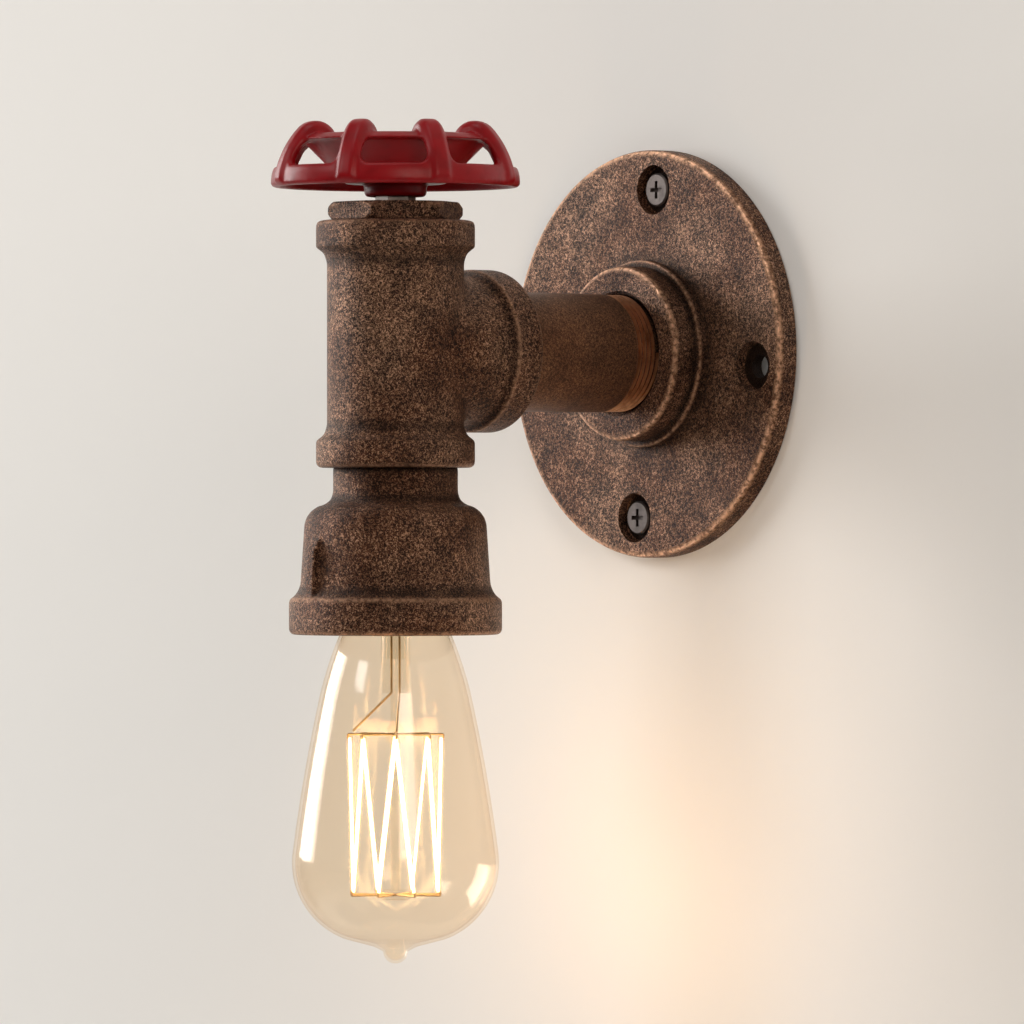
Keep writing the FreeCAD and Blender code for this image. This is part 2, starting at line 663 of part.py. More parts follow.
def tangent_arc(a, heading, b):
    """Circular edge from a to b that leaves a along the heading, all as (radius, height)."""
    chord = V(b[0] - a[0], 0, b[1] - a[1])
    side = V(heading.z, 0, -heading.x).normalize()
    radius = chord.Length ** 2 / (2 * side.dot(chord))
    centre = V(a[0], 0, a[1]) + side * radius
    middle = V((a[0] + b[0]) / 2, 0, (a[1] + b[1]) / 2) - centre
    crest = centre - middle.normalize() * -abs(radius)
    return arc(a, (crest.x, crest.z), b)


def wheel_arm():
    """One arched arm over the rim and the top ring, its inner side buried in the wheel's walls."""
    foot = (RIM_R + ARM_PROUD, 2.4)
    top = (ARM_CREST_R + 3.2, ARM_CREST_H - 0.5)
    end = (ARM_CREST_R - 7.4, WEB_FOOT_H + 8.2)
    rise = arc(foot, (RIM_R - 2.2, 11.6), top)
    curl = tangent_arc(top, rise.tangentAt(rise.LastParameter), end)
    crown = (LIP_R - 1.8, LIP_H - 1.5)
    waist = (RIM_R - 1.9, RIM_STRAIGHT)
    edges = [rise, curl, line(end, (LIP_R - 2.4, LIP_H - 2.0)), line((LIP_R - 2.4, LIP_H - 2.0), crown),
             arc(crown, (RIM_R - 4.4, 10.2), waist), line(waist, (waist[0], 1.2)),
             line((waist[0], 1.2), (RIM_R + ARM_PROUD - 0.4, 1.2)),
             line((RIM_R + ARM_PROUD - 0.4, 1.2), foot)]
    side = Part.Face(Part.Wire(edges))
    side.translate(V(0, -ARM_W / 2, 0))
    band = side.extrude(V(0, ARM_W, 0))
    ridge = [e for e in band.Edges if abs(abs(e.CenterOfMass.y) - ARM_W / 2) < 0.01
             and any(abs(e.Length - r.Length) < 1e-6 for r in (rise, curl))]
    return band.makeChamfer(ARM_ROUND, ridge)


def handwheel():
    """Cast valve wheel with arched arms."""
    arm = wheel_arm()
    arms = [turned(arm, WHEEL_TURN + i * 360 / ARM_COUNT) for i in range(ARM_COUNT)]
    wheel = fused([wheel_shell(), wheel_dish()] + arms)
    wheel.translate(V(0, 0, RIM_Z))
    return at_axis(wheel)


# ---- spindle and dimmer ---------------------------------------------------------------------------
def spindle():
    """Spindle: round in the collar, square in the wheel, with a threaded stud for the wheel nut."""
    stud_top = HUB_TOP_Z + STUD_LENGTH
    shaft = disc(SPINDLE_R, BOARD_END_Z, WHEEL_SEAT_Z)
    half = SQUARE / 2
    square = disc(SPINDLE_R, WHEEL_SEAT_Z, HUB_TOP_Z)
    square = square.common(box(V(-half, -half, WHEEL_SEAT_Z), V(half, half, HUB_TOP_Z)))
    return at_axis(fused([shaft, square, disc(STUD_R, HUB_TOP_Z, stud_top)]))


def wheel_washer():
    """Flat washer between the wheel's hub and its nut."""
    return at_axis(tube(WHEEL_WASHER_R, STUD_R + SCREW_GAP, HUB_TOP_Z, HUB_TOP_Z + WASHER_T))


def wheel_nut():
    """Nut that holds the wheel on the spindle."""
    low = HUB_TOP_Z + WASHER_T
    return at_axis(nut(WHEEL_NUT_FLATS, STUD_R + SEAT_GAP, low, low + WHEEL_NUT_T, 0.4))


def dimmer_collar():
    """Threaded collar in which the spindle runs, with a foot under the housing's lid."""
    body = fused([disc(COLLAR_R, LID_Z - COLLAR_FOOT_T, COLLAR_TOP_Z),
                  disc(COLLAR_FOOT_R, LID_Z - COLLAR_FOOT_T, LID_Z)])
    return at_axis(body.cut(disc(SPINDLE_R + RUN_GAP, LID_Z - COLLAR_FOOT_T, COLLAR_TOP_Z)))


def collar_washer():
    """Washer between the dimmer's lid and the bushing's plate."""
    return at_axis(tube(COLLAR_WASHER_R, COLLAR_R + SCREW_GAP, HOUSING_TOP_Z, HOUSING_TOP_Z + WASHER_T))


def collar_nut():
    """Nut that clamps the dimmer to the bushing."""
    return at_axis(nut(COLLAR_NUT_FLATS, COLLAR_R + SEAT_GAP, BUSH_TOP_Z, BUSH_TOP_Z + COLLAR_NUT_T, 0.3))


def dimmer_housing():
    """Round can with a lid, a hole for the collar and a stop for the rotor's lug."""
    cavity_r = DIMMER_R - DIMMER_WALL
    can = disc(DIMMER_R, HOUSING_END_Z, HOUSING_TOP_Z).cut(disc(cavity_r, HOUSING_END_Z, LID_Z))
    can = can.cut(disc(COLLAR_R + SEAT_GAP, LID_Z, HOUSING_TOP_Z))
    start = LUG_ARC + WHEEL_TRAVEL + TRAVEL_SPARE
    stop_arc = 360 - TRAVEL_SPARE - start
    stop = sector(cavity_r + DIMMER_WALL / 2, BOARD_TOP_Z, LID_Z, start, stop_arc)
    stop = stop.cut(disc(ROTOR_R + FREE_GAP, BOARD_TOP_Z, LID_Z))
    return at_axis(fused([can, stop]))


def dimmer_base():
    """Base that closes the can and carries the track board on a ring."""
    ring_r = DIMMER_R - DIMMER_WALL - SEAT_GAP
    ring = tube(ring_r, ring_r - BASE_RING_T, HOUSING_END_Z, BOARD_END_Z)
    return at_axis(fused([disc(DIMMER_R, BASE_END_Z, HOUSING_END_Z), ring]))


def dimmer_board():
    """Resistance track board under the rotor."""
    return at_axis(tube(DIMMER_R - DIMMER_WALL - SEAT_GAP, SPINDLE_R + RUN_GAP, BOARD_END_Z, BOARD_TOP_Z))


def dimmer_rotor():
    """Rotor on the spindle, with the lug that meets the stop at both ends of its travel."""
    lug = sector(DIMMER_R - DIMMER_WALL - FREE_GAP, ROTOR_END_Z, ROTOR_TOP_Z, 0, LUG_ARC)
    body = fused([disc(ROTOR_R, ROTOR_END_Z, ROTOR_TOP_Z), lug])
    return at_axis(body.cut(disc(SPINDLE_R + SEAT_GAP, ROTOR_END_Z, ROTOR_TOP_Z)))


def dimmer_terminals():
    """The dimmer's two solder tabs, one behind the other."""
    width, thick, drop = DIMMER_TAB
    tab = box(V(-width / 2, -thick / 2, BASE_END_Z - drop), V(width / 2, thick / 2, BASE_END_Z))
    tabs = []
    for way in (1, -1):
        copy = tab.copy()
        copy.translate(V(0, way * DIMMER_TAB_OFF, 0))
        tabs.append(at_axis(copy))
    return Part.makeCompound(tabs)


# ---- lampholder -----------------------------------------------------------------------------------
def lampholder_body():
    """Porcelain body: a skirt round the threaded shell, a neck in the cup's bore and a floor."""
    skirt_end = SEAT_Z - HOLDER_LENGTH
    shell_top = skirt_end + 2.0 + SHELL_LENGTH
    outline = [(0, FLOOR_TOP_Z), (HOLDER_NECK_R, FLOOR_TOP_Z), (HOLDER_NECK_R, SEAT_Z),
               (HOLDER_R, SEAT_Z), (HOLDER_R, skirt_end + 1.0), (HOLDER_R - 1.0, skirt_end),
               (SHELL_R, skirt_end), (SHELL_R, skirt_end + 2.0),
               (SHELL_R + SHELL_SHEET + SEAT_GAP, skirt_end + 2.0),
               (SHELL_R + SHELL_SHEET + SEAT_GAP, shell_top), (TIP_WELL_R, shell_top),
               (TIP_WELL_R, FLOOR_END_Z), (0, FLOOR_END_Z)]
    body = lathe(outline)
    rivet = Part.makeCylinder(RIVET_R + SEAT_GAP, HOLDER_FLOOR, V(0, -rivet_off(), FLOOR_END_Z))
    body = body.cut(rivet)
    half = TAB_W / 2 + SEAT_GAP
    slot = box(V(-half, tab_in() - SEAT_GAP, shell_top - 0.5),
               V(half, tab_in() + SHELL_SHEET + SEAT_GAP, FLOOR_TOP_Z))
    return at_axis(body.cut(slot))


def rivet_off():
    """Distance of the contact rivet in front of the upright axis."""
    return LEAD_OFF + 0.6


def tab_in():
    """Inner side of the shell's tab, behind the upright axis."""
    return SHELL_R - SHELL_SHEET


def lampholder_shell():
    """Threaded brass shell with a tab that rises to the neutral terminal."""
    low = SEAT_Z - HOLDER_LENGTH + 2.0
    high = low + SHELL_LENGTH - SEAT_GAP
    sleeve = tube(SHELL_R + SHELL_SHEET, SHELL_R, low, high)
    tab = box(V(-TAB_W / 2, tab_in(), high - 1.0), V(TAB_W / 2, tab_in() + SHELL_SHEET, FLOOR_TOP_Z + 2.0))
    joggle = box(V(-TAB_W / 2, tab_in(), high - 1.4), V(TAB_W / 2, SHELL_R + SHELL_SHEET / 2, high - 1.0))
    return at_axis(fused([sleeve, tab, joggle]))


def centre_contact():
    """Centre contact under the floor, riveted through it to the live terminal."""
    disc_ = disc(CONTACT_R, FLOOR_END_Z - CONTACT_T, FLOOR_END_Z)
    rivet = Part.makeCylinder(RIVET_R, HOLDER_FLOOR, V(0, -rivet_off(), FLOOR_END_Z))
    return at_axis(fused([disc_, rivet]))


def terminal_block_at(way):
    """Brass terminal block on the floor, in front (-1) of or behind (1) the upright axis."""
    near = LEAD_OFF - LEAD_R
    low = V(-TERMINAL_D / 2, near, FLOOR_TOP_Z)
    block = box(low, V(TERMINAL_D / 2, near + TERMINAL_W, FLOOR_TOP_Z + TERMINAL_H))
    if way < 0:
        block = turned(block, 180)
    return block


def live_terminal():
    """Brass block on the contact's rivet."""
    return at_axis(terminal_block_at(-1))


def neutral_terminal():
    """Brass block with a strap that meets the shell's tab."""
    near = LEAD_OFF - LEAD_R + TERMINAL_W / 2
    strap = box(V(-TAB_W / 2, near, FLOOR_TOP_Z), V(TAB_W / 2, tab_in(), FLOOR_TOP_Z + 1.0))
    return at_axis(fused([terminal_block_at(1), strap]))


def terminal_screws():
    """Clamp screws in the sides of the two terminals."""
    screws = []
    for way in (1, -1):
        y = way * (LEAD_OFF - LEAD_R + TERMINAL_W / 2)
        z = FLOOR_TOP_Z + TERMINAL_H / 2
        head = Part.makeCylinder(TERMINAL_SCREW_R, TERMINAL_SCREW_HEAD, V(TERMINAL_D / 2, y, z), V(1, 0, 0))
        screws.append(at_axis(head))
    return Part.makeCompound(screws)


def lampholder_cap():
    """Cover over the terminals, screwed on the mounting tube."""
    shell = disc(HOLDER_NECK_R, FLOOR_TOP_Z, CAP_ROOF_Z)
    shell = shell.cut(disc(HOLDER_NECK_R - HOLDER_CAP_WALL, FLOOR_TOP_Z, CAP_ROOF_Z - HOLDER_CAP_TOP))
    return at_axis(shell.cut(disc(TUBE_R + SEAT_GAP, FLOOR_TOP_Z, CAP_ROOF_Z)))


def mounting_tube():
    """Hollow threaded tube between the lampholder's cover and the lock nut."""
    return at_axis(tube(TUBE_R, TUBE_BORE_R, TUBE_END_Z, TUBE_TOP_Z))


def holder_plate():
    """Steel plate on the cup's upper end, which the lock nut pulls down."""
    return at_axis(tube(PLATE_R, TUBE_R + SCREW_GAP, CUP_TOP_Z, CUP_TOP_Z + PLATE_T))


def earth_ring():
    """Earth tag under the lock nut, with its tab to one side."""
    ring = disc(EARTH_RING_R, RING_Z, LOCKNUT_Z)
    tab = box(V(0, -EARTH_TAB_W / 2, RING_Z), V(EARTH_TAB_OUT, EARTH_TAB_W / 2, LOCKNUT_Z))
    return at_axis(fused([ring, tab]).cut(disc(TUBE_R + SCREW_GAP, RING_Z, LOCKNUT_Z)))


def lock_nut():
    """Lock nut on the mounting tube."""
    return at_axis(nut(LOCKNUT_FLATS, TUBE_R + SEAT_GAP, LOCKNUT_Z, LOCKNUT_Z + LOCKNUT_T, 0.5))


# ---- terminal block and leads ---------------------------------------------------------------------
def poles():
    """Sideways places of the terminal block's three poles: neutral, earth, live."""
    return [-POLE_PITCH, 0.0, POLE_PITCH]


def terminal_block():
    """Three-pole block that lies in the pipe's bore."""
    half = BLOCK_H / 2
    body = box(V(-BLOCK_W / 2, BLOCK_FRONT_Y, BLOCK_CENTRE_Z - half),
               V(BLOCK_W / 2, -BLOCK_FROM_WALL, BLOCK_CENTRE_Z + half))
    for x in poles():
        body = body.cut(rod(V(x, BLOCK_FRONT_Y, BLOCK_CENTRE_Z), V(x, -BLOCK_FROM_WALL, BLOCK_CENTRE_Z),
                            SLEEVE_R + SEAT_GAP))
        for y in clamp_places():
            body = body.cut(Part.makeCylinder(CLAMP_R + SEAT_GAP, half, V(x, y, BLOCK_CENTRE_Z)))
    return body


def clamp_places():
    """Places along the arm of each pole's two clamp screws."""
    middle = -(BLOCK_FROM_WALL + BLOCK_L / 2)
    return [middle - BLOCK_L / 4, middle + BLOCK_L / 4]


def pole_sleeves():
    """Brass sleeves of the terminal block."""
    sleeves = []
    for x in poles():
        front = V(x, BLOCK_FRONT_Y, BLOCK_CENTRE_Z)
        back = V(x, -BLOCK_FROM_WALL, BLOCK_CENTRE_Z)
        sleeves.append(rod(front, back, SLEEVE_R))
    return Part.makeCompound(sleeves)


def clamp_screws():
    """Clamp screws of the terminal block, on top of its sleeves."""
    screws = []
    low = BLOCK_CENTRE_Z + SLEEVE_R
    for x in poles():
        for y in clamp_places():
            screws.append(Part.makeCylinder(CLAMP_R, CLAMP_DEPTH, V(x, y, low)))
    return Part.makeCompound(screws)


def dimmer_tab_end(way):
    """Lower end of one of the dimmer's solder tabs."""
    return V(0, -LAMP_OUT + way * DIMMER_TAB_OFF, BASE_END_Z - DIMMER_TAB[2])


def holder_lead_end(way):
    """Top of one of the lampholder's terminals, where its lead enters."""
    return V(0, -LAMP_OUT + way * LEAD_OFF, FLOOR_TOP_Z + TERMINAL_H)


def live_lead():
    """From the block's live pole up to the dimmer's rear tab."""
    end = dimmer_tab_end(1)
    start = V(POLE_PITCH, BLOCK_FRONT_Y, BLOCK_CENTRE_Z)
    return lead([start, start - V(0, 18, 0), V(end.x, end.y, -2.0), end], "live_lead")


def switched_lead():
    """From the dimmer's front tab down to the lampholder's live terminal."""
    top = dimmer_tab_end(-1)
    end = holder_lead_end(-1)
    return lead([top, V(top.x, top.y, 2.0), V(end.x, end.y, TUBE_TOP_Z + 1.5), end], "switched_lead")


def neutral_lead():
    """From the block's neutral pole down to the lampholder's neutral terminal."""
    end = holder_lead_end(1)
    start = V(-POLE_PITCH, BLOCK_FRONT_Y, BLOCK_CENTRE_Z)
    return lead([start, start - V(0, 20, 0), V(end.x, end.y, 0.0), end], "neutral_lead")


def earth_lead():
    """From the block's earth pole to the tag under the lock nut."""
    end = V(EARTH_TAB_OUT - 1.4, -LAMP_OUT, LOCKNUT_Z)
    start = V(0, BLOCK_FRONT_Y, BLOCK_CENTRE_Z)
    return lead([start, start - V(0, 15, 0), V(5.0, -84, -7.5), V(end.x, end.y, -6.0), end], "earth_lead")


# ---- lamp -----------------------------------------------------------------------------------------
def glass_edges(inset):
    """Outline of the envelope from its neck to its tip, moved inwards by the inset."""
    neck_top = CAP_END_Z + NECK_GLASS_IN
    neck_r = NECK_GLASS_R - inset
    neck = (neck_r, CAP_END_Z)
    shoulder = (SHOULDER_GLASS_R - inset, SHOULDER_GLASS_Z)
    widest = (LAMP_R - inset, WIDEST_Z)
    bowl = (BOWL_R - inset * 0.6, BOWL_Z + inset * 0.7)
    root = (TIP_ROOT_R - inset * 0.6, TIP_Z + TIP_LENGTH + inset * 0.9)
    tip_r = TIP_R - inset * 0.6
    centre_z = TIP_Z + inset + tip_r
    slant = tip_r * math.sqrt(0.5)
    return [
        line((0, neck_top), (neck_r, neck_top)),
        line((neck_r, neck_top), neck),
        bulged(neck, shoulder, NECK_BULGE),
        bulged(shoulder, widest, SIDE_BULGE),
        bulged(widest, bowl, BOWL_BULGE),
        line(bowl, root),
        line(root, (tip_r, centre_z)),
        arc((tip_r, centre_z), (slant, centre_z - slant), (0, centre_z - tip_r)),
        line((0, centre_z - tip_r), (0, neck_top)),
    ]


def bulb_glass():
    """Blown envelope, open at its neck."""
    outer = lathe_edges(glass_edges(0))
    inner = lathe_edges(glass_edges(GLASS_T))
    return at_axis(outer.cut(inner))


def spider_wires(height, turn, hook):
    """Radial support wires with hooked ends, joined at the lamp's axis."""
    wires = [disc(WIRE_R * 3, height - WIRE_R, height + WIRE_R)]
    for i in range(STRANDS):
        angle = math.radians(turn + i * 360 / STRANDS)
        way = V(math.cos(angle), math.sin(angle), 0)
        tip = way * (CAGE_R + WIRE_R + STRAND_R) + V(0, 0, height)
        wires.append(rod(V(0, 0, height), tip, WIRE_R))
        wires.append(rod(tip - V(0, 0, hook), tip, WIRE_R))
    return fused(wires)


def upper_spider():
    """Upper hooks of the filament cage."""
    return spider_wires(UPPER_Z, CAGE_TURN, HOOK_DROP)


def lower_spider():
    """Lower hooks of the filament cage, half a step further round."""
    return spider_wires(LOWER_Z, CAGE_TURN + 180 / STRANDS, -HOOK_DROP)


def hook_point(i):
    """Turning point of the filament number i of its zigzag, above and below in turn."""
    turn = math.radians(CAGE_TURN + i * 180 / STRANDS)
    height = UPPER_Z - HOOK_DROP if i % 2 == 0 else LOWER_Z + HOOK_DROP
    return V(CAGE_R * math.cos(turn), CAGE_R * math.sin(turn), height)


def filament():
    """Zigzag filament between the upper and the lower hooks."""
    points = [hook_point(i) for i in range(2 * STRANDS)]
    return at_axis(fused([rod(a, b, STRAND_R) for a, b in zip(points, points[1:])]))


def lead_in_paths():
    """Centre lines of the two lead-in wires from the cap to the first and the last hook."""
    paths = []
    for i, side in ((-2, 1), (-6, -1)):
        hook = hook_point(i % (2 * STRANDS))
        start = V(side * 2.0, 0, CAP_TOP_Z - CAP_BUTTON_T - 3)
        pinch = V(side * 2.0, 0, PINCH_END_Z)
        paths.append([start, pinch, V(hook.x * 0.93, hook.y * 0.93, UPPER_Z + 3 * WIRE_R)])
    return paths


def lead_in_wires():
    """The two wires that feed the filament through the stem."""
    wires = []
    for start, pinch, hook in lead_in_paths():
        wires.append(at_axis(fused([rod(start, pinch, WIRE_R), rod(pinch, hook, WIRE_R)])))
    return Part.makeCompound(wires)


def bulb_stem():
    """Glass stem: flared foot in the neck, tube, flat pinch, centre rod and two buttons."""
    flare_r = NECK_GLASS_R - GLASS_T - SEAT_GAP
    foot_z = CAP_END_Z + NECK_GLASS_IN
    glass_tube = lathe([(flare_r, foot_z), (flare_r, foot_z - 1.0), (STEM_R, foot_z - 9.0),
                        (STEM_R, PINCH_TOP_Z), (0, PINCH_TOP_Z), (0, PINCH_TOP_Z + 2.0),
                        (STEM_BORE_R, PINCH_TOP_Z + 2.0), (STEM_BORE_R, foot_z - 8.4),
                        (flare_r - 1.2, foot_z)])
    pinch = box(V(-PINCH_W / 2, -PINCH_T / 2, PINCH_END_Z), V(PINCH_W / 2, PINCH_T / 2, PINCH_TOP_Z + 1.0))
    pinch = pinch.makeFillet(0.8, [e for e in pinch.Edges if abs(e.tangentAt(e.FirstParameter).z) > 0.9])
    centre = disc(ROD_R, LOWER_Z - BUTTON_T / 2, PINCH_END_Z + 1.0)
    upper = Part.makeSphere(BUTTON_R, V(0, 0, UPPER_Z))
    lower = disc(LOWER_BUTTON_R, LOWER_Z - BUTTON_T / 2, LOWER_Z + BUTTON_T / 2)
    rims = [e for e in lower.Edges if e.Closed and e.CenterOfMass.z != LOWER_Z]
    lower = lower.makeChamfer(BUTTON_T / 4, rims)
    stem = fused([glass_tube, pinch, centre, upper, lower])
    for path in lead_in_paths():
        stem = stem.cut(rod(path[0], path[1], WIRE_R))
        stem = stem.cut(rod(path[1], path[2], WIRE_R))
    return at_axis(stem.cut(upper_spider()).cut(lower_spider()))


def bulb_cap():
    """Screw cap of the lamp."""
    mouth = NECK_GLASS_R + SEAT_GAP
    corner = CAP_R - CAP_BEVEL
    ledge = corner - CAP_LEDGE
    outline = [(mouth, CAP_END_Z), (CAP_R, CAP_END_Z), (CAP_R, CAP_SHELL_TOP_Z - CAP_BEVEL),
               (corner, CAP_SHELL_TOP_Z), (ledge, CAP_SHELL_TOP_Z),
               (ledge, CAP_SHELL_TOP_Z - CAP_SHEET), (corner - CAP_SHEET / 2, CAP_SHELL_TOP_Z - CAP_SHEET),
               (mouth, CAP_SHELL_TOP_Z - CAP_BEVEL - CAP_SHEET / 2)]
    return at_axis(lathe(outline))


def cap_insulator():
    """Black glass insulator between the cap and its contact."""
    outline = [(0, CAP_SHELL_TOP_Z), (CAP_R - CAP_BEVEL, CAP_SHELL_TOP_Z),
               (CAP_CONE_TOP_R, CAP_SHELL_TOP_Z + CAP_CONE_H), (0, CAP_SHELL_TOP_Z + CAP_CONE_H)]
    body = lathe(outline)
    for path in lead_in_paths():
        body = body.cut(rod(path[0] + V(0, 0, 5), path[1], WIRE_R))
    return at_axis(body)


def cap_contact():
    """Solder contact on the insulator."""
    low = CAP_TOP_Z - CAP_BUTTON_T
    return at_axis(lathe([(0, low), (CAP_BUTTON_R, low), (CAP_BUTTON_R - 0.8, CAP_TOP_Z), (0, CAP_TOP_Z)]))


def support_upper():
    """Upper spider, on the upright axis."""
    return at_axis(upper_spider())


def support_lower():
    """Lower spider, on the upright axis."""
    return at_axis(lower_spider())


NODES = {
    "wall_flange": wall_flange,
    "wall_screws": wall_screws,
    "arm_nipple": arm_nipple,
    "tee": tee,
    "hex_bushing": hex_bushing,
    "reducer_cup": reducer_cup,
    "handwheel": handwheel,
    "wheel_washer": wheel_washer,
    "wheel_nut": wheel_nut,
    "spindle": spindle,
    "dimmer_rotor": dimmer_rotor,
    "dimmer_collar": dimmer_collar,
    "collar_washer": collar_washer,
    "collar_nut": collar_nut,
    "dimmer_housing": dimmer_housing,
    "dimmer_base": dimmer_base,
    "dimmer_board": dimmer_board,
    "dimmer_terminals": dimmer_terminals,
    "lampholder_body": lampholder_body,
    "lampholder_shell": lampholder_shell,
    "lampholder_cap": lampholder_cap,
    "centre_contact": centre_contact,
    "live_terminal": live_terminal,
    "neutral_terminal": neutral_terminal,
    "terminal_screws": terminal_screws,
    "mounting_tube": mounting_tube,
    "holder_plate": holder_plate,
    "earth_ring": earth_ring,
    "lock_nut": lock_nut,
    "terminal_block": terminal_block,
    "pole_sleeves": pole_sleeves,
    "clamp_screws": clamp_screws,
    "live_lead": live_lead,
    "switched_lead": switched_lead,
    "neutral_lead": neutral_lead,
    "earth_lead": earth_lead,
    "bulb_glass": bulb_glass,
    "bulb_stem": bulb_stem,
    "filament": filament,
    "upper_support": support_upper,
    "lower_support": support_lower,
    "lead_in_wires": lead_in_wires,
    "bulb_cap": bulb_cap,
    "cap_insulator": cap_insulator,
    "cap_contact": cap_contact,
}


def main():
    """Build every piece and write it to its own file."""
    os.makedirs("parts", exist_ok=True)
    for name, make in NODES.items():
        shape = make()
        solids = shape.Solids
        sound = all(s.isValid() and s.isClosed() and s.Volume > 0 for s in solids)
        print(f"{name:18s} solids {len(solids)} volume {shape.Volume:10.1f} {'ok' if sound else 'BAD'}")
        out = solids[0] if len(solids) == 1 else Part.makeCompound(solids)
        out.exportStep(f"parts/{name}.step")


main()
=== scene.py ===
"""Looks of an industrial pipe wall light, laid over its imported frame.

The classes of the object's parts hold their sizes in millimetres, and the meshes and the studio are in
metres, in the frame's own axes. The origin is the middle of the flange's back face, +Y goes into the wall
and +Z is up. The wheel, tee, cup and lamp share one upright axis in front of the wall.
"""
from __future__ import annotations

import logging
import math
from dataclasses import dataclass
from enum import Enum
from typing import Any, Optional, Sequence, Union

import bpy
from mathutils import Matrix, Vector


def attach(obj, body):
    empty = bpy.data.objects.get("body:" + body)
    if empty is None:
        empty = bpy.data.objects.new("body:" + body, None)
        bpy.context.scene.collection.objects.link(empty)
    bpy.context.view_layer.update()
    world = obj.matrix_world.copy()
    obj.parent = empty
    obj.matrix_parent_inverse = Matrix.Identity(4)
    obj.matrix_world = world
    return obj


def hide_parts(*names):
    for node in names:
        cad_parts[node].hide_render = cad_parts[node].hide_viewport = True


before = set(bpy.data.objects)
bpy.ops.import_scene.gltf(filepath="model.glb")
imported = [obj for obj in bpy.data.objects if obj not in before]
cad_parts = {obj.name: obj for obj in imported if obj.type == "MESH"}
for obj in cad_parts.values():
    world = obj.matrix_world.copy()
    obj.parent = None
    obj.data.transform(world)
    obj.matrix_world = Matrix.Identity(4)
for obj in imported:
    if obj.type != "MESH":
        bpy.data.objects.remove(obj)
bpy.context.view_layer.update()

log = logging.getLogger("pipe_light")

MM = 0.001
LAMP_Y = -109 * MM  # upright axis, in front of the wall
Point = tuple[float, float, float]
Colour = tuple[float, float, float]
Span = tuple[float, float]  # where a smooth step is 0 and where it is 1


class Body(Enum):
    """The moving bodies of the frame."""

    FIXTURE = "fixture"
    WHEEL = "handwheel"
    LAMP = "bulb"


class Axis(Enum):
    """The two lines that the round pieces are turned about."""

    UPRIGHT = "upright"
    ARM = "arm"


# ---- shader values ----------------------------------------------------------------------------------


class Sock:
    """A shader value that takes part in Python arithmetic."""

    def __init__(self, tree: "Tree", out: bpy.types.NodeSocket) -> None:
        """Wraps one output socket."""
        self.tree = tree
        self.out = out

    def _math(self, operation: str, *values: Union["Sock", float]) -> "Sock":
        """Adds one Math node.

        Args:
            operation: the Math node's operation.
            values: its inputs, each a wrapped socket or a number.

        Returns:
            The node's result.
        """
        node = self.tree.node("Math", {"operation": operation})
        for index, value in enumerate(values):
            self.tree.feed(node, index, value)
        return Sock(self.tree, node.outputs[0])

    def __add__(self, other: Union["Sock", float]) -> "Sock":
        """Sum."""
        return self._math("ADD", self, other)

    def __radd__(self, other: float) -> "Sock":
        """Sum, with the number first."""
        return self._math("ADD", other, self)

    def __sub__(self, other: Union["Sock", float]) -> "Sock":
        """Difference."""
        return self._math("SUBTRACT", self, other)

    def __rsub__(self, other: float) -> "Sock":
        """Difference, with the number first."""
        return self._math("SUBTRACT", other, self)

    def __mul__(self, other: Union["Sock", float]) -> "Sock":
        """Product."""
        return self._math("MULTIPLY", self, other)

    def __rmul__(self, other: float) -> "Sock":
        """Product, with the number first."""
        return self._math("MULTIPLY", other, self)

    def __pow__(self, other: Union["Sock", float]) -> "Sock":
        """Power."""
        return self._math("POWER", self, other)

    def __rpow__(self, other: float) -> "Sock":
        """Power, with the number first."""
        return self._math("POWER", other, self)

    def most(self, other: Union["Sock", float]) -> "Sock":
        """The larger of two values."""
        return self._math("MAXIMUM", self, other)

    def least(self, other: Union["Sock", float]) -> "Sock":
        """The smaller of two values."""
        return self._math("MINIMUM", self, other)

    def root(self) -> "Sock":
        """Square root."""
        return self._math("SQRT", self)

    def rise(self, low: float, high: float) -> "Sock":
        """Smooth step.

        Args:
            low: value at which the result is 0.
            high: value at which the result is 1. It may be under low, for a falling step.

        Returns:
            The step, between 0 and 1.
        """
        falls = low > high
        return self.tree.value(
            "MapRange",
            "Result",
            {"interpolation_type": "SMOOTHSTEP"},
            Value=self,
            From_Min=min(low, high),
            From_Max=max(low, high),
            To_Min=1.0 if falls else 0.0,
            To_Max=0.0 if falls else 1.0,
        )


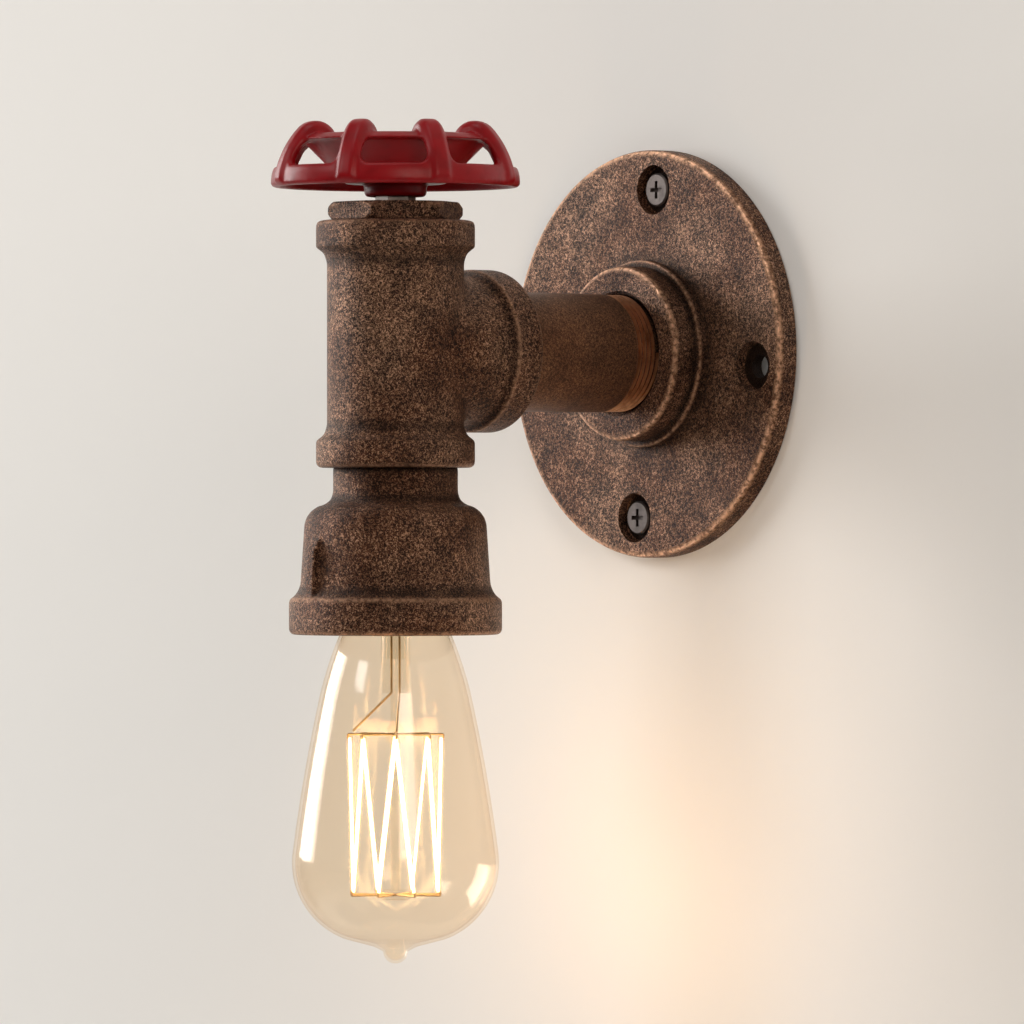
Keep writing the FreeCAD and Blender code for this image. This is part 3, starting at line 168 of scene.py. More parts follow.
class Tree:
    """A node tree, and the one way in which nodes are added to it."""

    def __init__(self, tree: bpy.types.NodeTree) -> None:
        """Wraps a node tree and empties it."""
        self.tree = tree
        self.tree.nodes.clear()

    def node(self, kind: str, settings: Optional[dict[str, Any]] = None, **sockets: Any) -> bpy.types.Node:
        """Adds any node.

        Args:
            kind: the node's type, without the ShaderNode in front.
            settings: the node's own properties, set before its sockets.
            sockets: value or link of each input socket, with _ for a space in its name.

        Returns:
            The new node.
        """
        made = self.tree.nodes.new("ShaderNode" + kind)
        for name, value in (settings or {}).items():
            setattr(made, name, value)
        for name, value in sockets.items():
            self.feed(made, name.replace("_", " "), value)
        return made

    def value(
        self, kind: str, output: Union[str, int], settings: Optional[dict[str, Any]] = None, **sockets: Any
    ) -> Sock:
        """Adds any node and wraps one of its outputs.

        Args:
            kind: the node's type, without the ShaderNode in front.
            output: the output's name or number.
            settings: the node's own properties, set before its sockets.
            sockets: value or link of each input socket, with _ for a space in its name.

        Returns:
            The wrapped output.
        """
        return Sock(self, self.node(kind, settings, **sockets).outputs[output])

    def feed(self, node: bpy.types.Node, name: Union[str, int], value: Any) -> None:
        """Sets or links one input socket.

        Args:
            node: the node whose input it is.
            name: the input's name or number.
            value: a number, a colour, a wrapped socket or a plain socket.
        """
        slot = node.inputs[name]
        if isinstance(value, Sock):
            self.tree.links.new(value.out, slot)
        elif isinstance(value, bpy.types.NodeSocket):
            self.tree.links.new(value, slot)
        elif isinstance(value, tuple) and slot.type == "RGBA":
            slot.default_value = (*value[:3], 1.0)
        else:
            slot.default_value = value


@dataclass(frozen=True)
class Edge:
    """A ring on a turned piece, in millimetres.

    Handling has rubbed it bare, or it is a corner painted dark as shade. A bare ring lies a little
    inside the corner that it marks.
    """

    about: Axis
    radius: float
    at: float
    reach: float
    strength: float


@dataclass(frozen=True)
class Well:
    """A round hole sunk into the plate's front, in millimetres, whose inside is painted dark as shade."""

    side: float
    up: float
    radius: float
    front: float


class Paint(Tree):
    """The node tree of one material."""

    # Sockets of a Mix node that mixes colours: its other ones are for numbers and vectors.
    MIX_SHARE, MIX_FIRST, MIX_SECOND, MIX_RESULT = 0, 6, 7, 2

    def __init__(self, name: str) -> None:
        """Makes an empty material of this name."""
        self.material = bpy.data.materials.new(name)
        self.material.use_nodes = True
        super().__init__(self.material.node_tree)
        self._place: Optional[tuple[Sock, Sock, Sock]] = None
        self._vector: Optional[Sock] = None

    def vector(self) -> Sock:
        """Gives the object coordinates, in metres in the frame.

        Returns:
            The coordinates, from one node for the whole material.
        """
        if self._vector is None:
            self._vector = self.value("TexCoord", "Object")
        return self._vector

    def place(self) -> tuple[Sock, Sock, Sock]:
        """Gives the place of a point on the piece.

        Returns:
            Its x, y and z, in metres in the frame.
        """
        if self._place is None:
            split = self.node("SeparateXYZ", Vector=self.vector())
            self._place = tuple(Sock(self, out) for out in split.outputs)
        return self._place

    def turned(self, about: Axis) -> tuple[Sock, Sock]:
        """Gives the place of a point about one of the two axes.

        Args:
            about: the axis.

        Returns:
            Its distance from the axis, and its place along it.
        """
        x, y, z = self.place()
        if about is Axis.UPRIGHT:
            out = y - LAMP_Y
            return (x * x + out * out).root(), z
        return (x * x + z * z).root(), y

    def noise(self, scale: float, detail: float = 2.0, rough: float = 0.5, twist: float = 0.0) -> Sock:
        """Fractal noise on the piece.

        Args:
            scale: features in a metre.
            detail: octaves of finer noise.
            rough: share of the finer octaves.
            twist: distortion of the pattern.

        Returns:
            The noise, around 0.5.
        """
        return self.value(
            "TexNoise", 0, Vector=self.vector(), Scale=scale, Detail=detail, Roughness=rough, Distortion=twist
        )

    def mix(self, share: Union[Sock, float], first: Any, second: Any) -> Sock:
        """Mixes two colours.

        Args:
            share: how much of the second.
            first: a colour or a socket.
            second: a colour or a socket.

        Returns:
            The mixed colour.
        """
        made = self.node("Mix", {"data_type": "RGBA"})
        self.feed(made, self.MIX_SHARE, share)
        self.feed(made, self.MIX_FIRST, first)
        self.feed(made, self.MIX_SECOND, second)
        return Sock(self, made.outputs[self.MIX_RESULT])

    def rings(self, edges: Sequence[Edge]) -> Optional[Sock]:
        """How near a point is to any of these rings.

        Args:
            edges: the rings.

        Returns:
            1 on a ring and 0 beyond its reach, or None without rings.
        """
        found: Optional[Sock] = None
        turned = {about: self.turned(about) for about in dict.fromkeys(edge.about for edge in edges)}
        for edge in edges:
            radius, along = turned[edge.about]
            off = radius - edge.radius * MM
            up = along - edge.at * MM
            near = (off * off + up * up).root().rise(edge.reach * MM, 0.0) * edge.strength
            found = near if found is None else found.most(near)
        return found

    def bump(self, height: Sock, depth: float, strength: float) -> Sock:
        """Relief.

        Args:
            height: height between 0 and 1.
            depth: what 1 stands for, in millimetres.
            strength: how strongly it shows.

        Returns:
            The normal.
        """
        return self.value("Bump", 0, Height=height, Distance=depth * MM, Strength=strength)

    def surface(self, **sockets: Any) -> bpy.types.Material:
        """Ends the tree in one Principled shader with these inputs, and returns the material."""
        return self.out(self.node("BsdfPrincipled", **sockets))

    def blended(self, share: Sock, first: bpy.types.Node, second: bpy.types.Node) -> bpy.types.Material:
        """Ends the tree in a mix of two shaders.

        Args:
            share: how much of the second.
            first: a shader's node.
            second: a shader's node.

        Returns:
            The finished material.
        """
        mixed = self.node("MixShader")
        for index, value in enumerate((share, first.outputs[0], second.outputs[0])):
            self.feed(mixed, index, value)
        return self.out(mixed)

    def out(self, shader: bpy.types.Node) -> bpy.types.Material:
        """Joins a shader's node to the material's output and returns the material."""
        self.feed(self.node("OutputMaterial"), "Surface", shader.outputs[0])
        return self.material


# ---- finishes ---------------------------------------------------------------------------------------


@dataclass(frozen=True)
class CastBronze:
    """Antique bronze paint on cast iron: dark in the grain, copper where it is rubbed.

    Each span gives the values of a noise between which one tone takes over from another.
    """

    name: str
    edges: tuple[Edge, ...] = ()
    # corners are rings painted darker as shade where the casting turns into a hollow corner
    corners: tuple[Edge, ...] = ()
    # wells are sunk holes whose insides are painted dark as shade
    shaded_wells: tuple[Well, ...] = ()
    dark: Colour = (0.009, 0.004, 0.002)
    brown: Colour = (0.098, 0.036, 0.016)
    grey: Colour = (0.165, 0.088, 0.054)
    copper: Colour = (0.760, 0.430, 0.260)
    grain: float = 1350.0
    grain_twist: float = 1.2
    grain_share: float = 0.7
    fine_ratio: float = 2.2
    fine_share: float = 0.3
    relief: float = 1.00
    patch_scale: float = 30.0
    cloud_scale: float = 110.0
    grey_span: Span = (0.38, 0.66)
    dark_span: Span = (0.53, 0.42)
    dark_sway: float = 0.18
    dark_share: float = 0.92
    bare_span: Span = (0.51, 0.62)
    cloud_span: Span = (0.30, 0.70)
    cloud_share: float = 0.45
    patch_span: Span = (0.35, 0.65)
    patch_share: float = 0.22
    bare_least: float = 0.20
    wear: float = 0.85
    rub_scale: float = 700.0
    rub_span: Span = (0.35, 0.62)
    rub_least: float = 0.2
    corner_cover: float = 0.85
    corner_shade: float = 0.8
    well_lip: float = 0.3
    well_span: Span = (0.1, 1.0)
    well_shade: float = 0.85
    metallic: float = 0.82
    bare_metallic: float = 0.15
    roughness: float = 0.50
    bare_gloss: float = 0.18

    def make(self) -> bpy.types.Material:
        """Builds the material.

        Returns:
            The material.
        """
        p = Paint(self.name)
        wrinkle = p.noise(self.grain, rough=0.60, twist=self.grain_twist)
        fine = p.noise(self.grain * self.fine_ratio, detail=1.0)
        height = wrinkle * self.grain_share + fine * self.fine_share
        patch = p.noise(self.patch_scale)
        cloud = p.noise(self.cloud_scale, rough=0.55)
        base = p.mix(patch.rise(*self.grey_span), self.brown, self.grey)
        low = height + cloud * self.dark_sway - self.dark_sway / 2
        colour = p.mix(low.rise(*self.dark_span) * self.dark_share, base, self.dark)
        worn = cloud.rise(*self.cloud_span) * self.cloud_share
        worn = worn + patch.rise(*self.patch_span) * self.patch_share + self.bare_least
        bare = height.rise(*self.bare_span) * worn * self.wear
        rub = p.rings(self.edges)
        if rub is not None:
            broken = p.noise(self.rub_scale, rough=0.6).rise(*self.rub_span)
            bare = bare.most(rub * (broken * (1.0 - self.rub_least) + self.rub_least))
        # Painted shade: the corner rings are painted towards the dark tone and kept unworn.
        corner = p.rings(self.corners)
        if corner is not None:
            bare = bare * (1.0 - corner * self.corner_cover)
            colour = p.mix(corner * self.corner_shade, colour, self.dark)
        # Painted shade: the inside of each sunk hole is painted dark and kept unworn.
        for well in self.shaded_wells:
            inside = self.inside(p, well)
            bare = bare * (1.0 - inside)
            colour = p.mix(inside * self.well_shade, colour, self.dark)
        colour = p.mix(bare.least(1.0), colour, self.copper)
        return p.surface(
            Base_Color=colour,
            Metallic=bare * self.bare_metallic + self.metallic,
            Roughness=self.roughness - bare * self.bare_gloss,
            Normal=p.bump(height, self.relief, 1.0),
        )

    def inside(self, p: Paint, well: Well) -> Sock:
        """Tells the inside of a well from the plate's front.

        Args:
            p: the material.
            well: the well.

        Returns:
            1 inside it and 0 outside.
        """
        x, y, z = p.place()
        side = x - well.side * MM
        up = z - well.up * MM
        off = (side * side + up * up).root()
        within = off.rise((well.radius + self.well_lip) * MM, (well.radius - self.well_lip) * MM)
        return within * y.rise(*((well.front + depth) * MM for depth in self.well_span))


@dataclass(frozen=True)
class Enamel:
    """Glossy red enamel on a casting, a little darker where it pools."""

    name: str
    red: Colour = (0.265, 0.001, 0.004)
    deep: Colour = (0.210, 0.001, 0.003)
    flow_scale: float = 150.0
    flow_span: Span = (0.35, 0.70)
    flow_share: float = 0.6
    peel_scale: float = 900.0
    peel_share: float = 0.10
    relief: float = 0.16
    relief_strength: float = 0.4
    roughness: float = 0.36
    haze_scale: float = 260.0
    haze_span: Span = (0.3, 0.8)
    haze: float = 0.06
    specular: float = 0.24

    def make(self) -> bpy.types.Material:
        """Builds the material.

        Returns:
            The material.
        """
        p = Paint(self.name)
        flow = p.noise(self.flow_scale)
        peel = p.noise(self.peel_scale, detail=1.0, rough=0.4)
        skin = flow * self.flow_share + peel * self.peel_share
        return p.surface(
            Base_Color=p.mix(flow.rise(*self.flow_span), self.red, self.deep),
            Roughness=p.noise(self.haze_scale).rise(*self.haze_span) * self.haze + self.roughness,
            Specular_IOR_Level=self.specular,
            Normal=p.bump(skin, self.relief, self.relief_strength),
        )


@dataclass(frozen=True)
class Metal:
    """Plated, turned or drawn metal with fine scratches."""

    name: str
    bright: Colour
    dull: Colour
    roughness: float
    stain_scale: float = 150.0
    stain_span: Span = (0.40, 0.75)
    line_scale: float = 1500.0
    line_sway: float = 0.16
    line_least: float = -0.06
    relief: float = 0.03
    relief_strength: float = 0.6

    def make(self) -> bpy.types.Material:
        """Builds the material.

        Returns:
            The material.
        """
        p = Paint(self.name)
        stain = p.noise(self.stain_scale, detail=3.0, rough=0.6)
        lines = p.noise(self.line_scale, rough=0.6)
        return p.surface(
            Base_Color=p.mix(stain.rise(*self.stain_span), self.bright, self.dull),
            Metallic=1.0,
            Roughness=lines * self.line_sway + (self.roughness + self.line_least),
            Normal=p.bump(lines, self.relief, self.relief_strength),
        )


@dataclass(frozen=True)
class Moulded:
    """Moulded plastic, porcelain, board or wire covering with a faint mottle and skin."""

    name: str
    light: Colour
    shade: Colour
    roughness: float
    coat: float = 0.0
    coat_roughness: float = 0.08
    cloud_scale: float = 220.0
    cloud_span: Span = (0.35, 0.75)
    cloud_sway: float = 0.12
    cloud_least: float = -0.05
    grain_scale: float = 2100.0
    relief: float = 0.05
    relief_strength: float = 0.5

    def make(self) -> bpy.types.Material:
        """Builds the material.

        Returns:
            The material.
        """
        p = Paint(self.name)
        cloud = p.noise(self.cloud_scale, detail=3.0, rough=0.6)
        grain = p.noise(self.grain_scale, detail=1.0)
        return p.surface(
            Base_Color=p.mix(cloud.rise(*self.cloud_span), self.light, self.shade),
            Roughness=cloud * self.cloud_sway + (self.roughness + self.cloud_least),
            Coat_Weight=self.coat,
            Coat_Roughness=self.coat_roughness,
            Normal=p.bump(grain * 0.5 + cloud * 0.5, self.relief, self.relief_strength),
        )


@dataclass(frozen=True)
class LampGlass:
    """Thin amber glass: it tints what is seen through it and mirrors more at a glance."""

    name: str
    tint: Colour = (0.996, 0.958, 0.900)
    rim_tint: Colour = (0.780, 0.620, 0.440)
    rim_power: float = 9.0
    rim_share: float = 0.9
    wave_scale: float = 30.0
    wave_share: float = 0.04
    mirror_power: float = 4.0
    mirror_rim: float = 0.40
    mirror_least: float = 0.03
    roughness: float = 0.11

    def make(self) -> bpy.types.Material:
        """Builds the material.

        Returns:
            The material.
        """
        p = Paint(self.name)
        graze = p.value("LayerWeight", "Facing", Blend=0.5)
        waves = p.noise(self.wave_scale, detail=1.0)
        thick = (graze ** self.rim_power) * self.rim_share + waves * self.wave_share
        amber = p.mix(thick, self.tint, self.rim_tint)
        clear = p.node("BsdfTransparent", Color=amber)
        shine = p.node("BsdfGlossy", Color=(1.0, 1.0, 1.0), Roughness=self.roughness)
        return p.blended((graze ** self.mirror_power) * self.mirror_rim + self.mirror_least, clear, shine)


@dataclass(frozen=True)
class Glow:
    """Hot wire, redder at the hooks that cool it. The spans are heights in millimetres."""

    name: str
    colour: Colour = (1.0, 0.72, 0.36)
    strength: float = 14.0
    alpha: float = 1.0
    cool: Colour = (1.0, 0.42, 0.12)
    cold: Colour = (0.08, 0.06, 0.05)
    top_span: Span = (-119.0, -124.0)
    low_span: Span = (-170.0, -166.0)
    hot_share: float = 0.9
    flicker_scale: float = 500.0
    flicker: float = 0.1
    roughness: float = 0.6

    def make(self) -> bpy.types.Material:
        """Builds the material.

        Returns:
            The material.
        """
        p = Paint(self.name)
        _, _, z = p.place()
        top, low = (z.rise(*(height * MM for height in span)) for span in (self.top_span, self.low_span))
        hot = top * low * self.hot_share + p.noise(self.flicker_scale) * self.flicker
        return p.surface(
            Base_Color=self.cold,
            Roughness=self.roughness,
            Alpha=self.alpha,
            Emission_Color=p.mix(hot, self.cool, self.colour),
            Emission_Strength=self.strength,
        )


# ---- modelling bench --------------------------------------------------------------------------------


class Bench:
    """Modelling by operators, one piece at a time."""

    SPIN_MERGE = 0.01  # corners this near are merged, in millimetres
    COPY_MERGE = 0.002
    THREAD_MERGE = 0.001
    END_SIDES = 8  # the largest open end that is closed
    SOFT = 80.0  # sharpest edge of a casting or strand that stays smooth, in degrees

    @staticmethod
    def clear() -> None:
        """Leaves edit mode and deselects everything."""
        if bpy.context.mode != "OBJECT":
            bpy.ops.object.mode_set(mode="OBJECT")
        bpy.ops.object.select_all(action="DESELECT")

    @staticmethod
    def loop(name: str, points: Sequence[Point]) -> bpy.types.Object:
        """Draws a closed line of edges, corner by corner, and stays in edit mode with it selected.

        Args:
            name: name of the new piece.
            points: the corners in millimetres.

        Returns:
            The new object.
        """
        Bench.clear()
        first = Vector(points[0]) * MM
        # A small plane, merged at its centre, is the first corner.
        bpy.ops.mesh.primitive_plane_add(size=MM, location=first)
        piece = bpy.context.object
        piece.name = name
        bpy.ops.object.transform_apply(location=True, rotation=True, scale=True)
        bpy.ops.object.mode_set(mode="EDIT")
        bpy.ops.mesh.select_all(action="SELECT")
        bpy.ops.mesh.merge(type="CENTER")
        last = first
        for point in points[1:]:
            here = Vector(point) * MM
            bpy.ops.mesh.extrude_region_move(TRANSFORM_OT_translate={"value": tuple(here - last)})
            last = here
        bpy.ops.mesh.select_all(action="DESELECT")
        bpy.ops.object.mode_set(mode="OBJECT")
        piece.data.vertices[0].select = True
        piece.data.vertices[len(points) - 1].select = True
        bpy.ops.object.mode_set(mode="EDIT")
        bpy.ops.mesh.edge_face_add()
        bpy.ops.mesh.select_all(action="SELECT")
        return piece

    @staticmethod
    def spin(centre: Point, axis: Point, steps: int) -> None:
        """Turns the selected loop about an axis into a closed skin.

        Args:
            centre: a point of the axis in millimetres.
            axis: the axis's direction.
            steps: faces round.
        """
        bpy.ops.mesh.spin(steps=steps, angle=math.tau, center=tuple(Vector(centre) * MM), axis=axis)
        bpy.ops.mesh.select_all(action="SELECT")
        bpy.ops.mesh.remove_doubles(threshold=Bench.SPIN_MERGE * MM)
        bpy.ops.mesh.normals_make_consistent(inside=False)

    @staticmethod
    def copied(name: str, node: str) -> bpy.types.Object:
        """Copies a frame node with a mesh of its own, its corners merged.

        Args:
            name: name of the copy.
            node: the frame node.

        Returns:
            The copy.
        """
        Bench.clear()
        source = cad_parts[node]
        source.select_set(True)
        bpy.context.view_layer.objects.active = source
        bpy.ops.object.duplicate(linked=False)
        piece = bpy.context.object
        piece.name = name
        for key in list(piece.keys()):
            del piece[key]
        bpy.ops.object.mode_set(mode="EDIT")
        bpy.ops.mesh.select_all(action="SELECT")
        bpy.ops.mesh.remove_doubles(threshold=Bench.COPY_MERGE * MM)
        bpy.ops.mesh.customdata_custom_splitnormals_clear()
        Bench.clear()
        piece.select_set(True)
        return piece

    @staticmethod
    def finish_with(piece: bpy.types.Object, kind: str, **settings: Any) -> None:
        """Adds one modifier to a piece and applies it.

        Args:
            piece: the piece.
            kind: the modifier's type.
            settings: its properties.
        """
        bpy.context.view_layer.objects.active = piece
        bpy.ops.object.modifier_add(type=kind)
        added = piece.modifiers[-1]
        for name, value in settings.items():
            setattr(added, name, value)
        bpy.ops.object.modifier_apply(modifier=added.name)

    @staticmethod
    def cast(name: str, node: str, voxel: float, rounds: int) -> bpy.types.Object:
        """Gives a frame node's form the soft corners of a sand casting.

        Args:
            name: name of the new piece.
            node: the frame node.
            voxel: the finest detail that stays, in millimetres.
            rounds: rounds of smoothing.

        Returns:
            The cast piece.
        """
        piece = Bench.copied(name, node)
        Bench.finish_with(piece, "REMESH", mode="VOXEL", voxel_size=voxel * MM, adaptivity=0.0)
        Bench.finish_with(piece, "SMOOTH", factor=0.5, iterations=rounds)
        Bench.done(piece, Bench.SOFT)
        return piece

    @staticmethod
    def wind(piece: bpy.types.Object, axis: str, pitch: float, turns: int, steps: int) -> None:
        """Winds the closed section on the bench into a screw thread with closed ends.

        Args:
            piece: the piece, with its section in edit mode.
            axis: X, Y or Z.
            pitch: advance of one turn in millimetres.
            turns: whole turns.
            steps: faces in one turn.
        """
        Bench.clear()
        piece.select_set(True)
        Bench.finish_with(
            piece,
            "SCREW",
            axis=axis,
            angle=math.tau,
            screw_offset=pitch * MM,
            iterations=turns,
            steps=steps,
            render_steps=steps,
            use_normal_calculate=True,
        )
        bpy.context.view_layer.objects.active = piece
        bpy.ops.object.mode_set(mode="EDIT")
        bpy.ops.mesh.select_all(action="SELECT")
        bpy.ops.mesh.remove_doubles(threshold=Bench.THREAD_MERGE * MM)
        bpy.ops.mesh.fill_holes(sides=Bench.END_SIDES)
        bpy.ops.mesh.select_all(action="SELECT")
        bpy.ops.mesh.normals_make_consistent(inside=False)

    @staticmethod
    def done(piece: bpy.types.Object, angle: float) -> None:
        """Leaves edit mode and shades a piece smooth up to an angle.

        Args:
            piece: the piece on the bench.
            angle: the sharpest edge that stays smooth, in degrees.
        """
        Bench.clear()
        piece.select_set(True)
        bpy.context.view_layer.objects.active = piece
        bpy.ops.object.shade_smooth_by_angle(angle=math.radians(angle))
        piece.select_set(False)

    @staticmethod
    def settle(
        piece: bpy.types.Object, body: Body, material: bpy.types.Material, slot: str, replaces: Sequence[str]
    ) -> None:
        """Gives a finished piece its material and body, and hides the frame nodes that it stands for.

        Args:
            piece: the finished piece.
            body: the body that it moves with.
            material: its finish.
            slot: the record's material slot, which is not used.
            replaces: frame nodes that it stands for.
        """
        piece.data.materials.clear()
        piece.data.materials.append(material)
        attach(piece, body.value)
        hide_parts(*replaces)
        log.info("%s: %d faces, on %s", piece.name, len(piece.data.polygons), body.value)


def dress(material: bpy.types.Material, *nodes: str) -> None:
    """Puts a material on frame nodes.

    Args:
        material: the finish.
        nodes: names of the nodes.
    """
    for name in nodes:
        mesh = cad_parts[name].data
        if not mesh.materials:
            mesh.materials.append(material)
        for index in range(len(mesh.materials)):
            mesh.materials[index] = material
        log.info("%s: dressed in %s", name, material.name)


# ---- sub-assemblies ---------------------------------------------------------------------------------


@dataclass
class WallFlange:
    """Round cast plate with a stepped hub, and its two screws."""

    plate: float = 64.9
    thick: float = 7.0
    hub: float = 27.75
    hub_face: float = 17.9
    step: float = 29.8
    hole_ring: float = 52.35
    hole_turn: float = 5.0
    sink: float = 7.2

    def build(self) -> None:
        """Dresses the plate and its screws."""
        front = -self.thick
        edges = (
            Edge(Axis.ARM, self.plate - 0.6, front + 0.4, reach=1.9, strength=1.0),
            Edge(Axis.ARM, self.hub - 0.3, 0.3 - self.hub_face, reach=1.9, strength=1.0),
            Edge(Axis.ARM, self.step, front - 2.2, reach=1.3, strength=0.8),
        )
        # Rings where the hub and the step meet the plate, painted darker as shade.
        corners = (
            Edge(Axis.ARM, self.hub, front - 2.6, reach=2.6, strength=0.9),
            Edge(Axis.ARM, self.step + 1.0, front, reach=4.5, strength=0.6),
        )
        # The four sunk holes, whose insides are painted dark as shade.
        turns = (math.radians(self.hole_turn + quarter * 90.0) for quarter in range(4))
        shaded_wells = tuple(
            Well(self.hole_ring * math.sin(turn), self.hole_ring * math.cos(turn), self.sink, front)
            for turn in turns
        )
        dress(CastBronze("flange_bronze", edges, corners, shaded_wells).make(), "wall_flange")
        steel = Metal("screw_steel", bright=(0.15, 0.125, 0.115), dull=(0.085, 0.070, 0.064), roughness=0.50)
        dress(steel.make(), "wall_screws")


@dataclass
class PipeArm:
    """Pipe between hub and tee, with its thread showing at the hub.

    Distances along it are places on the Y axis, which are negative in front of the wall.
    """

    outer: float = 18.75
    bore: float = 15.35
    root: float = 17.75
    crest: float = 18.55
    wall_end: float = -5.9
    tee_face: float = -69.5
    tee_end: float = -82.5
    relief: float = 1.1
    bevel: float = 0.3
    bevel_start: tuple[float, float] = (0.25, 0.35)
    ramp_start: float = 0.5
    ramp_end: float = 0.1
    segments: int = 128
    thread_start: float = -16.0
    thread_end: float = -25.4
    thread_steps: int = 96
    pitch: float = 1.814
    flank_share: float = 0.40
    crest_half: float = 0.12
    sunk: float = 0.3

    def outline(self) -> list[Point]:
        """Half section of the tube with its undercuts.

        Returns:
            Its corners, in millimetres.
        """
        body_start = self.thread_end
        body_end = self.tee_face + self.relief
        across, along = self.bevel_start
        return [
            (self.bore, self.wall_end, 0.0),
            (self.root, self.wall_end, 0.0),
            (self.root, body_start + self.ramp_start, 0.0),
            (self.outer - across, body_start, 0.0),
            (self.outer, body_start - along, 0.0),
            (self.outer, body_end + self.bevel, 0.0),
            (self.outer - self.bevel, body_end, 0.0),
            (self.root, body_end - self.ramp_end, 0.0),
            (self.root, self.tee_end, 0.0),
            (self.bore, self.tee_end, 0.0),
        ]

    def thread(self) -> bpy.types.Object:
        """Winds the thread's ridge round the undercut at the hub.

        Returns:
            The ridge.
        """
        start = self.thread_start
        flank = self.pitch * self.flank_share
        foot = self.root - self.sunk
        section = [
            (foot, start, 0.0),
            (self.crest, start - flank + self.crest_half, 0.0),
            (self.crest, start - flank - self.crest_half, 0.0),
            (foot, start - 2.0 * flank, 0.0),
        ]
        ridge = Bench.loop("thread_ridge", section)
        turns = math.ceil((start - self.thread_end) / self.pitch)
        Bench.wind(ridge, "Y", -self.pitch, turns, self.thread_steps)
        Bench.done(ridge, 30.0)
        return ridge

    def build(self) -> None:
        """Builds the pipe and its thread, and dresses them."""
        tube = Bench.loop("arm_pipe", self.outline())
        Bench.spin((0.0, 0.0, 0.0), (0.0, 1.0, 0.0), self.segments)
        Bench.done(tube, 35.0)
        edges = (
            Edge(Axis.ARM, self.outer, self.thread_end, reach=0.9, strength=0.7),
            Edge(Axis.ARM, self.outer, self.tee_face + self.relief, reach=0.8, strength=0.7),
        )
        finish = CastBronze(
            "pipe_bronze",
            edges,
            dark=(0.050, 0.022, 0.011),
            brown=(0.130, 0.056, 0.028),
            grey=(0.150, 0.075, 0.042),
            copper=(0.420, 0.200, 0.095),
            grain=1500.0,
            relief=0.10,
        )
        Bench.settle(tube, Body.FIXTURE, finish.make(), "pipe_bronze", ("arm_nipple",))
        worn = Metal("thread_copper", bright=(0.46, 0.21, 0.10), dull=(0.20, 0.08, 0.035), roughness=0.36)
        Bench.settle(self.thread(), Body.FIXTURE, worn.make(), "pipe_bronze", ("arm_nipple",))


@dataclass
class Tee:
    """Cast tee with its bushing."""

    band: float = 24.7
    band_height: float = 8.4
    band_slope: float = 4.4
    up: float = 40.2
    down: float = -36.6
    run: float = 21.3
    branch: float = 23.35
    branch_band: float = 25.5
    branch_face: float = -69.5
    branch_band_length: float = 10.5
    bush_corner: float = 20.6
    bush_top: float = 45.9

    def build(self) -> None:
        """Casts and dresses the tee and the bushing."""
        band_end = self.branch_face - self.branch_band_length
        edges = (
            Edge(Axis.UPRIGHT, self.band - 0.3, self.up - 0.3, reach=1.4, strength=0.45),
            Edge(Axis.UPRIGHT, self.band - 0.3, self.down + 0.3, reach=1.4, strength=0.45),
            Edge(Axis.ARM, self.branch_band - 0.3, self.branch_face - 0.4, reach=1.4, strength=0.5),
            Edge(Axis.ARM, self.branch_band - 0.3, band_end + 0.4, reach=1.2, strength=0.4),
        )
        slope = self.band_height + self.band_slope
        # Rings where the run and the branch meet their bands, painted darker as shade.
        corners = (
            Edge(Axis.UPRIGHT, self.run, self.up - slope, reach=3.0, strength=0.7),
            Edge(Axis.UPRIGHT, self.run, self.down + slope, reach=3.0, strength=0.7),
            Edge(Axis.ARM, self.branch, band_end - 0.5, reach=2.4, strength=0.9),
        )
        body = Bench.cast("tee_casting", "tee", voxel=0.65, rounds=5)
        finish = CastBronze("tee_bronze", edges, corners)
        Bench.settle(body, Body.FIXTURE, finish.make(), "cast_bronze", ("tee",))
        rub = (Edge(Axis.UPRIGHT, self.bush_corner, self.bush_top - 0.8, reach=1.6, strength=0.5),)
        bush = Bench.cast("bushing_casting", "hex_bushing", voxel=0.45, rounds=3)
        finish = CastBronze("bushing_bronze", rub)
        Bench.settle(bush, Body.FIXTURE, finish.make(), "cast_bronze", ("hex_bushing",))


@dataclass
class Cup:
    """Bell-shaped reducing fitting that shades the lampholder."""

    rim: float = 33.1
    rim_top: float = -76.7
    rim_low: float = -88.4
    wall: float = 29.5
    neck: float = 19.4
    neck_top: float = -36.6
    neck_end: float = -46.5

    def build(self) -> None:
        """Casts and dresses the cup."""
        edges = (
            Edge(Axis.UPRIGHT, self.rim - 0.4, self.rim_top - 0.4, reach=1.6, strength=0.45),
            Edge(Axis.UPRIGHT, self.rim - 0.3, self.rim_low + 0.4, reach=1.4, strength=0.5),
        )
        # Rings at the rim's inner corner and at both ends of the neck, painted darker as shade.
        corners = (
            Edge(Axis.UPRIGHT, self.wall + 0.5, self.rim_top + 1.5, reach=3.0, strength=0.8),
            Edge(Axis.UPRIGHT, self.neck, self.neck_end, reach=3.0, strength=0.9),
            Edge(Axis.UPRIGHT, self.neck, self.neck_top - 0.3, reach=2.4, strength=0.9),
        )
        bell = Bench.cast("cup_casting", "reducer_cup", voxel=0.60, rounds=5)
        finish = CastBronze("cup_bronze", edges, corners)
        Bench.settle(bell, Body.FIXTURE, finish.make(), "cast_bronze", ("reducer_cup",))


@dataclass
class Wheel:
    """Red valve wheel with the steel that holds it."""

    voxel: float = 0.50
    rounds: int = 16

    def build(self) -> None:
        """Casts the wheel, and dresses it with its nuts, washers and spindle."""
        wheel = Bench.cast("wheel_casting", "handwheel", self.voxel, self.rounds)
        Bench.settle(wheel, Body.WHEEL, Enamel("wheel_red").make(), "wheel_red", ("handwheel",))
        zinc = Metal("zinc_steel", bright=(0.24, 0.21, 0.19), dull=(0.12, 0.105, 0.095), roughness=0.34)
        dress(
            zinc.make(),
            "wheel_washer",
            "wheel_nut",
            "spindle",
            "collar_nut",
            "collar_washer",
            "lock_nut",
            "holder_plate",
        )


